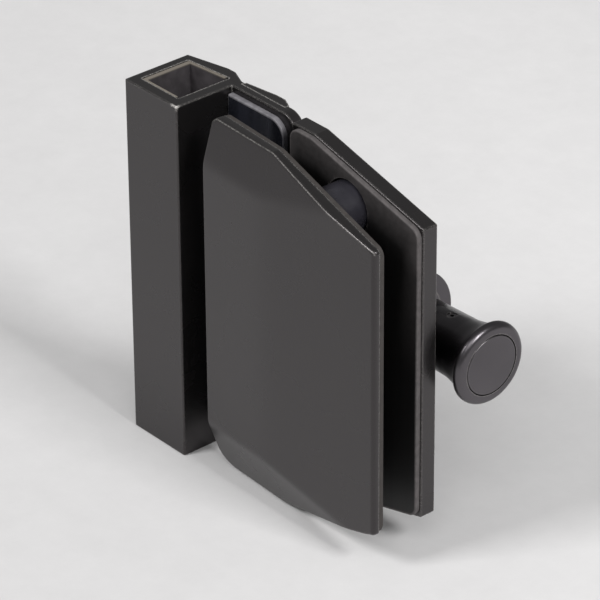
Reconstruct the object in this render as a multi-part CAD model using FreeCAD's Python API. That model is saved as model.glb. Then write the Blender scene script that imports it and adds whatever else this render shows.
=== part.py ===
"""Glass pool gate latch: the wall half with its stop plate, and the gate half with its spring bolt.

Millimetres. X runs from the wall towards the free end of the gate plates, Y towards the pool side,
Z up. The origin is the middle of the face that lies on the wall or post.
"""
import FreeCAD, Part
import math
import os

from FreeCAD import Vector

# Overall
latch_height = 100.0
edge_round = 0.35

# Clearances
slip_clearance = 0.05
seat_clearance = 0.1
cut_margin = 1.0

# Post of the wall half
post_width = 20.0
post_depth = 20.0
post_wall = 3.2
post_mount_wall = 2.5
post_corner_radius = 0.5
rear_swell = 2.8
rear_swell_x = 13.9
rear_swell_length = 2.8
cavity_rear_depth = 1.9
cavity_swell = 1.5
cavity_corner_radius = 0.4

# Stop plate of the wall half
stop_front_y = 7.6
stop_thickness = 3.2
stop_end_x = 43.9
stop_corner_radius = 5.0

# Steel channel inside the post
channel_slit = 0.3
channel_web = 1.2
channel_flange = 0.8
channel_top_inset = 0.15
channel_flange_reach = 12.9

# Wall screws and their access holes
wall_screw_from_top = 20.0
wall_screw_hole_radius = 3.25
wall_screw_y = 2.2
access_hole_radius = 3.0
plug_rim_radius = 3.4
plug_rim_height = 0.5
plug_rim_round = 0.3

# Stop gasket
stop_gasket_thickness = 1.5
stop_gasket_top_inset = 1.8
stop_gasket_end_inset = 2.9
stop_gasket_corner_radius = 4.6

# Striker block
striker_start_x = 21.2
striker_end_x = 37.3
striker_crest_x = 34.3
striker_crest_length = 3.0
striker_recess = 1.0
striker_low_rise = 0.35
striker_crest_rise = 1.75
striker_top_inset = 0.1
striker_screw_x = 27.0
striker_outer_screw_from_top = 10.0
striker_inner_screw_from_top = 32.0
striker_screw_radius = 1.5
striker_screw_head_radius = 2.7
striker_screw_end_depth = 0.5

# Back plate
back_plate_gap = 0.5
back_plate_width = 47.2
back_plate_front_y = 6.0
back_plate_thickness = 4.5
back_plate_flat = 8.3
back_plate_drop = 9.8
back_plate_corner_radius = 0.5
back_gasket_thickness = 1.3
back_gasket_inset = 0.5
back_gasket_corner_radius = 3.0

# Through-glass bosses
boss_x = 66.0
boss_from_top = 13.7
sleeve_radius = 6.7
sleeve_wall = 1.8
spacer_wall = 1.75
pad_hole_play = 0.6
clamp_screw_radius = 3.0
clamp_head_radius = 6.0
clamp_thread_depth = 2.8
clamp_hole_end_gap = 0.4
clamp_hole_play = 0.45
glass_gap = 8.8
sleeve_end_gap = 0.6
spacer_end_gap = 0.5

# Front plate, in its own frame: along the plate from the bosses, and out from its rear face
front_plate_tip_deg = 4.0
front_top_inset = 0.5
front_left_reach = 37.4
front_right_reach = 25.5
front_top_kink_offset = 13.7
front_bottom_kink_offset = 12.3
front_drop = 10.1
front_ridge_offset = 14.5
front_left_thickness = 6.2
front_ridge_thickness = 5.65
front_right_thickness = 1.95
front_top_thickness = 2.25
front_bottom_thickness = 0.9
front_top_facet_height = 12.0
front_bottom_facet_height = 13.3
front_top_corner_radius = 2.2
front_bottom_corner_radius = 5.0
front_right_corner_radius = 1.2
front_gasket_thickness = 1.3
front_gasket_inset = 0.15
front_gasket_corner_radius = 2.6

# Bolt housing
bolt_axis_y = 22.2
housing_radius = 12.75
housing_start_x = 47.0
housing_length = 23.5
foot_thickness = 4.0
foot_half_height = 17.0
foot_end_inset = 1.0
foot_corner_radius = 3.0
housing_screw_radius = 2.0
housing_screw_head_radius = 4.0
housing_screw_edge = 4.4
housing_screw_height = 13.2
housing_screw_end_gap = 0.5
housing_rim_round = 0.5

# Bolt, rod and spring
bolt_radius = 9.0
bolt_tip_x = 33.5
bolt_length = 21.5
bolt_travel = 12.0
bolt_tip_flat = 6.0
bolt_edge_round = 0.5
spring_pocket_radius = 6.3
spring_pocket_depth = 9.0
rod_radius = 4.0
rod_seat_depth = 4.0
wire_diameter = 1.0
spring_mean_radius = 5.1
spring_end_pitch = 1.5
spring_active_turns = 5
washer_thickness = 0.8
washer_radius = 6.0
cap_thickness = 3.0
bush_wall = 1.4
guide_screw_x = 50.5
guide_screw_radius = 2.0
guide_dog_radius = 1.3
guide_slot_depth = 2.0
guide_dog_reach = 1.7
guide_slot_play = 0.2
guide_screw_recess = 1.0

# Buffer ring and knob
buffer_thickness = 0.6
buffer_wall = 1.8
buffer_gap = 0.1
stem_start_radius = 7.4
stem_end_radius = 8.0
stem_length = 22.0
flare_length = 2.9
flare_bend_from_start = 1.97
flare_bend_rise = 0.9
knob_radius = 10.6
knob_rim_width = 2.5
knob_rear_round = 0.4
knob_front_round = 1.0
knob_cap_radius = 7.85
knob_cap_thickness = 1.6
knob_cap_groove = 0.2
knob_cap_proud = 0.1
rod_end_gap = 0.5
rod_knob_depth = 20.8
grub_from_stem = 13.2
grub_radius = 1.25
grub_recess = 0.25
grub_socket_radius = 0.6
grub_socket_depth = 1.2

# Screw heads
countersink_half_angle = 45.0
socket_depth_share = 0.5
socket_corner_share = 0.65

# Planes and places worked out from the sizes above
top_z = latch_height / 2
post_front_y = -post_depth / 2
post_rear_y = post_depth / 2
stop_rear_y = stop_front_y + stop_thickness
back_plate_x = stop_end_x + back_plate_gap
back_plate_end_x = back_plate_x + back_plate_width
back_plate_rear_y = back_plate_front_y + back_plate_thickness
back_gasket_y = back_plate_front_y - back_gasket_thickness
hinge_y = back_gasket_y - glass_gap
front_metal_y = hinge_y - front_gasket_thickness
boss_heights = (boss_from_top - top_z, top_z - boss_from_top)
front_half_height = top_z - front_top_inset
spacer_radius = sleeve_radius - sleeve_wall - slip_clearance
housing_end_x = housing_start_x + housing_length
cap_start_x = housing_end_x - cap_thickness
bolt_end_x = bolt_tip_x + bolt_length
spring_seat_x = bolt_end_x - spring_pocket_depth
spring_end_x = cap_start_x - washer_thickness
stem_start_x = housing_end_x + buffer_thickness + buffer_gap
knob_rim_x = stem_start_x + stem_length + flare_length
knob_face_x = knob_rim_x + knob_rim_width
rod_start_x = spring_seat_x - rod_seat_depth
rod_end_x = stem_start_x + rod_knob_depth

X_AXIS = Vector(1, 0, 0)
Y_AXIS = Vector(0, 1, 0)
Z_AXIS = Vector(0, 0, 1)


def cylinder(radius, start, direction, length):
    """A round bar that starts at a point and runs along a direction."""
    return Part.makeCylinder(radius, length, start, direction)


def cone(start_radius, end_radius, start, direction, length):
    """A round bar whose radius changes evenly along its length."""
    return Part.makeCone(start_radius, end_radius, length, start, direction)


def tube(outer_radius, inner_radius, start, direction, length):
    """A round bar with a bore right through it."""
    outer = cylinder(outer_radius, start, direction, length)
    return outer.cut(cylinder(inner_radius, start, direction, length))


def rounded_wire(corners, place):
    """A closed outline through (u, v, radius) corners, each rounded by a tangent arc of its radius."""
    edges = []
    ends = []
    count = len(corners)
    for index in range(count):
        before = Vector(*corners[index - 1][:2])
        here = Vector(*corners[index][:2])
        after = Vector(*corners[(index + 1) % count][:2])
        radius = corners[index][2]
        to_before = (before - here).normalize()
        to_after = (after - here).normalize()
        half_angle = to_before.getAngle(to_after) / 2
        if radius <= 0:
            ends.append((here, here, None))
            continue
        tangent_length = radius / math.tan(half_angle)
        middle_distance = radius / math.sin(half_angle) - radius
        bisector = (to_before + to_after).normalize()
        ends.append((here + to_before * tangent_length, here + to_after * tangent_length,
                     here + bisector * middle_distance))
    for index in range(count):
        start, end, middle = ends[index]
        next_start = ends[(index + 1) % count][0]
        if middle is not None:
            edges.append(Part.Arc(place(start), place(middle), place(end)).toShape())
        edges.append(Part.LineSegment(place(end), place(next_start)).toShape())
    return Part.Wire(edges)


def upright_prism(corners, bottom, height):
    """An outline drawn in plan, (x, y, radius), and raised along Z."""
    wire = rounded_wire(corners, lambda p: Vector(p.x, p.y, bottom))
    return Part.Face(wire).extrude(Z_AXIS * height)


def facing_prism(corners, start_y, depth):
    """An outline drawn as seen from the front, (x, z, radius), and given depth along Y."""
    wire = rounded_wire(corners, lambda p: Vector(p.x, start_y, p.y))
    return Part.Face(wire).extrude(Y_AXIS * depth)


def round_edges(shape, radius, wanted):
    """Rounds the edges for which wanted(edge) holds."""
    edges = [edge for edge in shape.Edges if wanted(edge)]
    return shape.makeFillet(radius, edges)


def lies_at(edge, axis, value):
    """Whether both ends of an edge lie in the plane where one coordinate has the given value."""
    return all(abs(getattr(vertex.Point, axis) - value) < 1e-4 for vertex in edge.Vertexes)


def symmetric_plate_outline(start_x, end_x, kink_x, half_height, drop, left_radius, right_radius):
    """The plates' outline: flat top and bottom, then both taper evenly towards the free end."""
    end_half = half_height - drop
    return [
        (start_x, -half_height, left_radius),
        (kink_x, -half_height, 0),
        (end_x, -end_half, right_radius),
        (end_x, end_half, right_radius),
        (kink_x, half_height, 0),
        (start_x, half_height, left_radius),
    ]


def countersunk_bar(radius, head_radius, head_face, direction, length):
    """A round bar with a countersunk head, whose face is flush with the surface."""
    head_depth = (head_radius - radius) * math.tan(math.radians(90 - countersink_half_angle))
    head = cone(head_radius, radius, head_face, direction, head_depth)
    return head.fuse(cylinder(radius, head_face, direction, length)).removeSplitter()


def countersunk_screw(radius, head_radius, head_face, direction, length):
    """A countersunk screw with a hexagon socket in its head."""
    socket_depth = 2 * radius * socket_depth_share
    socket = hexagon_bar(radius * socket_corner_share, head_face, direction, socket_depth)
    return countersunk_bar(radius, head_radius, head_face, direction, length).cut(socket)


def countersunk_hole(radius, head_radius, head_face, direction, length):
    """The space that a countersunk screw takes, with the clearance around it."""
    return countersunk_bar(radius + slip_clearance, head_radius + slip_clearance, head_face,
                           direction, length)


def hexagon_bar(corner_radius, start, direction, length):
    """A six-sided bar along a direction, for a socket."""
    side = direction.cross(Z_AXIS)
    if side.Length < 0.5:
        side = direction.cross(X_AXIS)
    side.normalize()
    other = direction.cross(side)
    points = []
    for step in range(7):
        angle = math.radians(60 * step)
        points.append(start + (side * math.cos(angle) + other * math.sin(angle)) * corner_radius)
    return Part.Face(Part.makePolygon(points)).extrude(direction * length)


def striker_recess_y():
    """The floor of the shallow recess that the striker block lies in."""
    return stop_rear_y - striker_recess


def cavity_rear_y(x):
    """The rear wall of the post's cavity, which leans back towards the stop plate."""
    cavity_width = post_width - post_mount_wall - post_wall
    return post_rear_y - cavity_rear_depth + cavity_swell * (x - post_mount_wall) / cavity_width


def striker_screw(height):
    """One striker screw, whose head lies flush in the sloping rear of the block."""
    head_y = striker_slope_y(striker_screw_x)
    length = head_y - stop_front_y - striker_screw_end_depth
    return countersunk_screw(striker_screw_radius, striker_screw_head_radius,
                             Vector(striker_screw_x, head_y, height), -Y_AXIS, length)


def striker_slope_y(x):
    """The rear face of the striker block between its low edge and its crest."""
    low = stop_rear_y + striker_low_rise
    crest_start = striker_crest_x - striker_crest_length
    share = (x - striker_start_x) / (crest_start - striker_start_x)
    return low + (striker_crest_rise - striker_low_rise) * share


def striker_screw_heights():
    """The striker's four screws, two above the middle and two below."""
    outer = top_z - striker_outer_screw_from_top
    inner = top_z - striker_inner_screw_from_top
    return (-outer, -inner, inner, outer)


def striker_screw_holes():
    """The threaded holes of the striker screws."""
    holes = []
    head_y = striker_slope_y(striker_screw_x)
    length = head_y - stop_front_y - striker_screw_end_depth + slip_clearance
    for height in striker_screw_heights():
        holes.append(countersunk_hole(striker_screw_radius, striker_screw_head_radius,
                                      Vector(striker_screw_x, head_y, height), -Y_AXIS, length))
    return holes


def wall_screw_heights():
    """The two wall screws, level about the middle of the post."""
    return (wall_screw_from_top - top_z, top_z - wall_screw_from_top)


def post_cavity():
    """The space inside the post, open at the top and at the bottom."""
    end_x = post_width - post_wall
    return upright_prism([
        (post_mount_wall, post_front_y + post_wall, cavity_corner_radius),
        (end_x, post_front_y + post_wall, cavity_corner_radius),
        (end_x, cavity_rear_y(end_x), cavity_corner_radius),
        (post_mount_wall, cavity_rear_y(post_mount_wall), cavity_corner_radius),
    ], -top_z, latch_height)


def receiver_body():
    """The post with its cavity, and the stop plate that runs out from its rear."""
    radius = post_corner_radius
    post = upright_prism([
        (0, post_front_y, radius),
        (post_width, post_front_y, radius),
        (post_width, stop_rear_y, 0),
        (rear_swell_x + rear_swell_length / 2, post_rear_y + rear_swell, radius),
        (rear_swell_x - rear_swell_length / 2, post_rear_y + rear_swell, radius),
        (0, post_rear_y, radius),
    ], -top_z, latch_height)
    stop = facing_prism([
        (post_width - post_wall, -top_z, 0),
        (stop_end_x, -top_z, stop_corner_radius),
        (stop_end_x, top_z, stop_corner_radius),
        (post_width - post_wall, top_z, 0),
    ], stop_front_y, stop_thickness)
    body = post.fuse(stop).removeSplitter()
    body = round_edges(body, edge_round,
                       lambda edge: lies_at(edge, "z", top_z) or lies_at(edge, "z", -top_z))
    body = body.cut(post_cavity())
    recess = facing_prism([
        (striker_start_x - seat_clearance, -top_z + striker_top_inset - seat_clearance, 0),
        (striker_end_x + seat_clearance, -top_z + striker_top_inset - seat_clearance, 0),
        (striker_end_x + seat_clearance, top_z - striker_top_inset + seat_clearance, 0),
        (striker_start_x - seat_clearance, top_z - striker_top_inset + seat_clearance, 0),
    ], striker_recess_y(), striker_recess + cut_margin)
    body = body.cut(recess)
    for hole in striker_screw_holes():
        body = body.cut(hole)
    for height in wall_screw_heights():
        start = Vector(0, wall_screw_y, height)
        body = body.cut(cylinder(wall_screw_hole_radius, start, X_AXIS, post_mount_wall))
        access_start = Vector(post_width - post_wall, wall_screw_y, height)
        body = body.cut(cylinder(access_hole_radius, access_start, X_AXIS, post_wall))
    return body


def backing_channel():
    """The steel channel that spreads the wall screws' load down the inside of the post."""
    inner_x = post_mount_wall + channel_slit
    flange_x = inner_x + channel_flange_reach
    front = post_front_y + post_wall
    web_x = inner_x + channel_web
    channel = upright_prism([
        (inner_x, front, 0),
        (flange_x, front, 0),
        (flange_x, front + channel_flange, 0),
        (web_x, front + channel_flange, 0),
        (web_x, cavity_rear_y(web_x) - channel_flange, 0),
        (flange_x, cavity_rear_y(flange_x) - channel_flange, 0),
        (flange_x, cavity_rear_y(flange_x), 0),
        (inner_x, cavity_rear_y(inner_x), 0),
    ], -top_z + channel_top_inset, latch_height - 2 * channel_top_inset)
    channel = channel.common(post_cavity())
    for height in wall_screw_heights():
        channel = channel.cut(cylinder(wall_screw_hole_radius, Vector(0, wall_screw_y, height),
                                       X_AXIS, web_x))
    return channel


def access_plugs():
    """Two push-in plugs, each with a low rim on the outside of the post."""
    plugs = []
    for height in wall_screw_heights():
        start = Vector(post_width - post_wall, wall_screw_y, height)
        stem = cylinder(access_hole_radius - slip_clearance, start, X_AXIS, post_wall)
        rim = cylinder(plug_rim_radius, Vector(post_width, wall_screw_y, height), X_AXIS, plug_rim_height)
        rim = round_edges(rim, plug_rim_round,
                          lambda edge: lies_at(edge, "x", post_width + plug_rim_height))
        plugs.append(stem.fuse(rim))
    return Part.makeCompound(plugs)


def stop_gasket():
    """The rubber pad that the glass closes against."""
    half_height = top_z - stop_gasket_top_inset
    end_x = stop_end_x - stop_gasket_end_inset
    pad = facing_prism([
        (post_width, -half_height, 0),
        (end_x, -half_height, stop_gasket_corner_radius),
        (end_x, half_height, stop_gasket_corner_radius),
        (post_width, half_height, 0),
    ], stop_front_y - stop_gasket_thickness, stop_gasket_thickness)
    return round_edges(pad, edge_round,
                       lambda edge: lies_at(edge, "y", stop_front_y - stop_gasket_thickness)
                       and not lies_at(edge, "x", post_width))


def striker_block():
    """The wedge on the rear of the stop plate, which the bolt lies behind when the gate is shut."""
    low_y = stop_rear_y + striker_low_rise
    crest_y = stop_rear_y + striker_crest_rise
    block = upright_prism([
        (striker_start_x, striker_recess_y(), 0),
        (striker_end_x, striker_recess_y(), 0),
        (striker_end_x, low_y, 0),
        (striker_crest_x, crest_y, post_corner_radius),
        (striker_crest_x - striker_crest_length, crest_y, post_corner_radius),
        (striker_start_x, low_y, 0),
    ], -top_z + striker_top_inset, latch_height - 2 * striker_top_inset)
    for hole in striker_screw_holes():
        block = block.cut(hole)
    return block


def striker_screws():
    """The screws that hold the striker block."""
    return Part.makeCompound([striker_screw(height) for height in striker_screw_heights()])


def housing_screw_places():
    """Where the four screws of the housing's foot sit, as (x, z)."""
    first_x = housing_start_x + foot_end_inset + housing_screw_edge
    last_x = housing_end_x - foot_end_inset - housing_screw_edge
    places = []
    for x in (first_x, last_x):
        for z in (-housing_screw_height, housing_screw_height):
            places.append((x, z))
    return places


def back_plate():
    """The rear clamp plate, which carries the bosses in front and the bolt housing behind."""
    outline = symmetric_plate_outline(back_plate_x, back_plate_end_x, back_plate_x + back_plate_flat,
                                      top_z, back_plate_drop, back_plate_corner_radius,
                                      back_plate_corner_radius)
    plate = facing_prism(outline, back_plate_front_y, back_plate_thickness)
    plate = round_edges(plate, edge_round,
                        lambda edge: lies_at(edge, "y", back_plate_front_y)
                        or lies_at(edge, "y", back_plate_rear_y))
    for height in boss_heights:
        plate = plate.cut(countersunk_hole(clamp_screw_radius, clamp_head_radius,
                                           Vector(boss_x, back_plate_rear_y, height), -Y_AXIS,
                                           back_plate_thickness))
    for x, z in housing_screw_places():
        plate = plate.cut(countersunk_hole(housing_screw_radius, housing_screw_head_radius,
                                           Vector(x, back_plate_front_y, z), Y_AXIS,
                                           back_plate_thickness))
    return plate


def back_gasket():
    """The rubber pad between the back plate and the glass."""
    inset = back_gasket_inset
    outline = symmetric_plate_outline(back_plate_x + inset, back_plate_end_x - inset,
                                      back_plate_x + back_plate_flat,
                                      top_z - inset, back_plate_drop, back_gasket_corner_radius,
                                      back_gasket_corner_radius)
    pad = facing_prism(outline, back_gasket_y, back_gasket_thickness)
    pad = round_edges(pad, edge_round, lambda edge: lies_at(edge, "y", back_gasket_y))
    for height in boss_heights:
        pad = pad.cut(cylinder(sleeve_radius + pad_hole_play, Vector(boss_x, back_gasket_y, height),
                               Y_AXIS, back_gasket_thickness))
    return pad


def boss_sleeve(height):
    """The plastic sleeve that keeps the glass off the steel spacer."""
    end_y = hinge_y + sleeve_end_gap
    inner = sleeve_radius - sleeve_wall
    sleeve = tube(sleeve_radius, inner, Vector(boss_x, end_y, height), Y_AXIS, back_plate_front_y - end_y)
    return round_edges(sleeve, edge_round,
                       lambda edge: lies_at(edge, "y", end_y)
                       and edge.BoundBox.ZLength > sleeve_radius + inner)


def boss_spacer(height):
    """The steel tube that sets how near the plates can come."""
    end_y = front_metal_y + spacer_end_gap
    return tube(spacer_radius, spacer_radius - spacer_wall, Vector(boss_x, end_y, height), Y_AXIS,
                back_plate_front_y - end_y)


def clamp_screws():
    """The two screws from the rear, through the bosses, into the front plate."""
    length = back_plate_rear_y - front_metal_y + clamp_thread_depth
    screws = []
    for height in boss_heights:
        screws.append(countersunk_screw(clamp_screw_radius, clamp_head_radius,
                                        Vector(boss_x, back_plate_rear_y, height), -Y_AXIS, length))
    return Part.makeCompound(screws)


def front_thickness_at(offset, height):
    """The least of the face's planes: left wing, right wing, and the facets above and below."""
    left_slope = (front_ridge_thickness - front_left_thickness) / (front_left_reach - front_ridge_offset)
    right_slope = (front_right_thickness - front_ridge_thickness) / (front_right_reach + front_ridge_offset)
    top_slope = (front_ridge_thickness - front_top_thickness) / front_top_facet_height
    bottom_slope = (front_ridge_thickness - front_bottom_thickness) / front_bottom_facet_height
    from_ridge = offset + front_ridge_offset
    left_wing = front_ridge_thickness + left_slope * from_ridge
    right_wing = front_ridge_thickness + right_slope * from_ridge
    below_top = front_half_height - height
    top_facet = front_top_thickness + left_slope * from_ridge + top_slope * below_top
    above_foot = front_half_height + height
    bottom_facet = front_bottom_thickness + left_slope * from_ridge + bottom_slope * above_foot
    return [left_wing, right_wing, top_facet, bottom_facet]


def front_facet_cutter(facet):
    """All that lies in front of one plane of the face, as a prism along Y."""
    reach = latch_height
    points = []
    for offset, height in ((-reach, -reach), (reach, -reach), (reach, reach), (-reach, reach)):
        thickness = front_thickness_at(offset, height)[facet]
        points.append(Vector(boss_x + offset, front_metal_y - thickness, height))
    face = Part.Face(Part.makePolygon(points + [points[0]]))
    return face.extrude(-Y_AXIS * reach)


def tip_front_plate(shape):
    """Turns a piece of the front plate about the upright line through the bosses, as it stands loose."""
    shape.rotate(Vector(boss_x, hinge_y, 0), Z_AXIS, -front_plate_tip_deg)
    return shape


def front_outline(inset, right_radius):
    """The front plate's outline, drawn in by an inset, as seen before the plate is tipped."""
    start_x = boss_x - front_left_reach + inset
    end_x = boss_x + front_right_reach - inset
    half_height = front_half_height - inset
    end_half = half_height - front_drop
    return [
        (start_x, -half_height, front_bottom_corner_radius),
        (boss_x - front_bottom_kink_offset, -half_height, 0),
        (end_x, -end_half, right_radius),
        (end_x, end_half, right_radius),
        (boss_x - front_top_kink_offset, half_height, 0),
        (start_x, half_height, front_top_corner_radius),
    ]


def front_plate():
    """The front clamp plate, a shallow wedge with a faceted face."""
    depth = front_left_thickness * 2
    plate = facing_prism(front_outline(0, front_right_corner_radius), front_metal_y - depth, depth)
    for facet in range(4):
        plate = plate.cut(front_facet_cutter(facet))
    plate = round_edges(plate, edge_round, is_front_rim)
    hole_depth = clamp_thread_depth + clamp_hole_end_gap
    for height in boss_heights:
        plate = plate.cut(cylinder(clamp_screw_radius + clamp_hole_play,
                                   Vector(boss_x, front_metal_y, height), -Y_AXIS, hole_depth))
    return tip_front_plate(plate)


def is_front_rim(edge):
    """Whether an edge of the front plate runs round the rim of its face."""
    if any(abs(vertex.Point.y - front_metal_y) < 1e-4 for vertex in edge.Vertexes):
        return False
    middle = edge.valueAt((edge.FirstParameter + edge.LastParameter) / 2)
    planes = sorted(front_thickness_at(middle.x - boss_x, middle.z))
    between_two_planes = planes[1] - planes[0] < 1e-3
    start_x = boss_x - front_left_reach
    end_x = boss_x + front_right_reach
    at_side = abs(middle.x - start_x) < 1e-3 or abs(middle.x - end_x) < 1e-3
    return at_side or not between_two_planes


def front_gasket():
    """The rubber pad on the rear of the front plate."""
    outline = front_outline(front_gasket_inset, front_gasket_corner_radius)
    pad = facing_prism(outline, front_metal_y, front_gasket_thickness)
    for height in boss_heights:
        pad = pad.cut(cylinder(spacer_radius + 2 * clamp_hole_play,
                               Vector(boss_x, front_metal_y, height), Y_AXIS, front_gasket_thickness))
    return tip_front_plate(pad)


def bolt_housing():
    """The round barrel and its foot, bored for the bolt from one end to the other."""
    barrel = cylinder(housing_radius, Vector(housing_start_x, bolt_axis_y, 0), X_AXIS, housing_length)
    barrel = round_edges(barrel, housing_rim_round,
                         lambda edge: lies_at(edge, "x", housing_start_x)
                         or lies_at(edge, "x", housing_end_x))
    foot_start = housing_start_x + foot_end_inset
    foot_end = housing_end_x - foot_end_inset
    foot = facing_prism([
        (foot_start, -foot_half_height, foot_corner_radius),
        (foot_end, -foot_half_height, foot_corner_radius),
        (foot_end, foot_half_height, foot_corner_radius),
        (foot_start, foot_half_height, foot_corner_radius),
    ], back_plate_rear_y, foot_thickness)
    foot = round_edges(foot, edge_round,
                       lambda edge: lies_at(edge, "y", back_plate_rear_y + foot_thickness))
    in_front = Part.makeBox(housing_length * 2, housing_radius * 2, housing_radius * 4,
                            Vector(housing_start_x - housing_length / 2,
                                   back_plate_rear_y - housing_radius * 2, -housing_radius * 2))
    housing = barrel.fuse(foot).cut(in_front)
    bore = cylinder(bolt_radius + slip_clearance, Vector(housing_start_x, bolt_axis_y, 0), X_AXIS,
                    housing_length)
    housing = housing.cut(bore)
    for x, z in housing_screw_places():
        depth = foot_thickness - housing_screw_end_gap
        housing = housing.cut(cylinder(housing_screw_radius + slip_clearance,
                                       Vector(x, back_plate_rear_y, z), Y_AXIS, depth))
    guide_hole = cylinder(guide_screw_radius + slip_clearance, Vector(guide_screw_x, bolt_axis_y, 0),
                          -Z_AXIS, housing_radius + cut_margin)
    return housing.cut(guide_hole)


def housing_screws():
    """The four screws that hold the housing's foot, with their heads under the back gasket."""
    length = back_plate_thickness + foot_thickness - housing_screw_end_gap - seat_clearance
    screws = []
    for x, z in housing_screw_places():
        screws.append(countersunk_screw(housing_screw_radius, housing_screw_head_radius,
                                        Vector(x, back_plate_front_y, z), Y_AXIS, length))
    return Part.makeCompound(screws)


def end_cap():
    """The threaded cap that closes the housing on the knob's side."""
    start = Vector(cap_start_x, bolt_axis_y, 0)
    return tube(bolt_radius, rod_radius + slip_clearance + bush_wall + slip_clearance, start, X_AXIS,
                cap_thickness)


def rod_bush():
    """The bush in the end cap that the rod slides in."""
    inner = rod_radius + slip_clearance
    return tube(inner + bush_wall, inner, Vector(cap_start_x, bolt_axis_y, 0), X_AXIS, cap_thickness)


def latch_bolt():
    """The bolt, with a bevel on the pool side of its nose and a pocket for the spring."""
    bolt = cylinder(bolt_radius, Vector(bolt_tip_x, bolt_axis_y, 0), X_AXIS, bolt_length)
    bolt = round_edges(bolt, bolt_edge_round, lambda edge: lies_at(edge, "x", bolt_tip_x))
    bevel_depth = 2 * bolt_radius - bolt_tip_flat
    bevel_start_y = bolt_axis_y - bolt_radius + bolt_tip_flat
    margin = bolt_radius
    bevel = upright_prism([
        (bolt_tip_x - margin, bevel_start_y - margin, 0),
        (bolt_tip_x + bevel_depth + margin, bevel_start_y + bevel_depth + margin, 0),
        (bolt_tip_x - margin, bevel_start_y + bevel_depth + margin, 0),
    ], -bolt_radius - cut_margin, 2 * (bolt_radius + cut_margin))
    bolt = bolt.cut(bevel)
    pocket = cylinder(spring_pocket_radius, Vector(spring_seat_x, bolt_axis_y, 0), X_AXIS,
                      spring_pocket_depth)
    rod_seat = cylinder(rod_radius + slip_clearance, Vector(rod_start_x, bolt_axis_y, 0), X_AXIS,
                        rod_seat_depth)
    half_width = guide_dog_radius + guide_slot_play
    slot_length = bolt_travel + 2 * half_width
    slot = Part.makeBox(slot_length, 2 * half_width, 2 * guide_slot_depth,
                        Vector(guide_screw_x + half_width - slot_length, bolt_axis_y - half_width,
                               -bolt_radius - guide_slot_depth))
    return bolt.cut(pocket).cut(rod_seat).cut(slot)


def bolt_rod():
    """The rod from the bolt to the knob."""
    return cylinder(rod_radius, Vector(rod_start_x, bolt_axis_y, 0), X_AXIS, rod_end_x - rod_start_x)


def spring_height(turn):
    """How far the wire's middle has climbed after a number of turns, with closer turns at both ends."""
    total_turns = spring_active_turns + 2
    length = spring_end_x - spring_seat_x - wire_diameter
    active_pitch = (length - 2 * spring_end_pitch) / spring_active_turns
    if turn <= 1:
        return spring_end_pitch * turn
    if turn >= total_turns - 1:
        return length - spring_end_pitch * (total_turns - turn)
    return spring_end_pitch + active_pitch * (turn - 1)


def spring_point(turn):
    """A point of the spring's middle line."""
    angle = 2 * math.pi * turn
    return Vector(spring_seat_x + wire_diameter / 2 + spring_height(turn),
                  bolt_axis_y + spring_mean_radius * math.cos(angle),
                  spring_mean_radius * math.sin(angle))


def spring_direction(turn):
    """The direction of the spring's middle line, averaged over a small step to each side."""
    step = 1e-3
    start = max(turn - step, 0)
    end = min(turn + step, spring_active_turns + 2)
    return (spring_point(end) - spring_point(start)).normalize()


def tangent_arc(start, corner, end):
    """The arc from start to end whose tangents meet at corner, at equal distances from both."""
    middle = (start + end) * 0.5
    half_chord = (end - start).Length / 2
    rise = corner - middle
    turn = math.atan2(rise.Length, half_chord)
    sagitta = half_chord * math.tan(turn / 2)
    return Part.Arc(start, middle + rise.normalize() * sagitta, end).toShape()


def biarc(start, start_direction, end, end_direction):
    """Two arcs, tangent to each other and to the directions at both ends."""
    chord = end - start
    both = start_direction + end_direction
    spread = 2 * (1 - start_direction.dot(end_direction))
    along = chord.dot(both)
    reach = (-along + math.sqrt(along * along + spread * chord.dot(chord))) / spread
    first_corner = start + start_direction * reach
    second_corner = end - end_direction * reach
    joint = (first_corner + second_corner) * 0.5
    return [tangent_arc(start, first_corner, joint), tangent_arc(joint, second_corner, end)]


def return_spring():
    """The compression spring, one unbroken wire, seated in the bolt and on the washer."""
    steps = (spring_active_turns + 2) * 4
    edges = []
    for step in range(steps):
        first = step / 4
        last = (step + 1) / 4
        edges += biarc(spring_point(first), spring_direction(first), spring_point(last),
                       spring_direction(last))
    path = Part.Wire(edges)
    section = Part.Wire([Part.makeCircle(wire_diameter / 2, spring_point(0), spring_direction(0))])
    pipe = Part.BRepOffsetAPI.MakePipeShell(path)
    pipe.add(section)
    pipe.build()
    pipe.makeSolid()
    print_spring_gap()
    return pipe.shape()


def print_spring_gap():
    """Prints the least gap between one turn of the spring and the next, measured on points."""
    samples = 48
    turns = spring_active_turns + 2
    least = spring_end_x
    for index in range((turns - 1) * samples):
        here = spring_point(index / samples)
        for shift in range(-samples // 4, samples // 4 + 1):
            there = spring_point(min((index + samples + shift) / samples, turns))
            least = min(least, (there - here).Length)
    print("least gap of the spring to itself", round(least - wire_diameter, 2))


def spring_washer():
    """The thrust washer between the spring and the end cap."""
    return tube(washer_radius, rod_radius + slip_clearance, Vector(spring_end_x, bolt_axis_y, 0), X_AXIS,
                washer_thickness)


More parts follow.
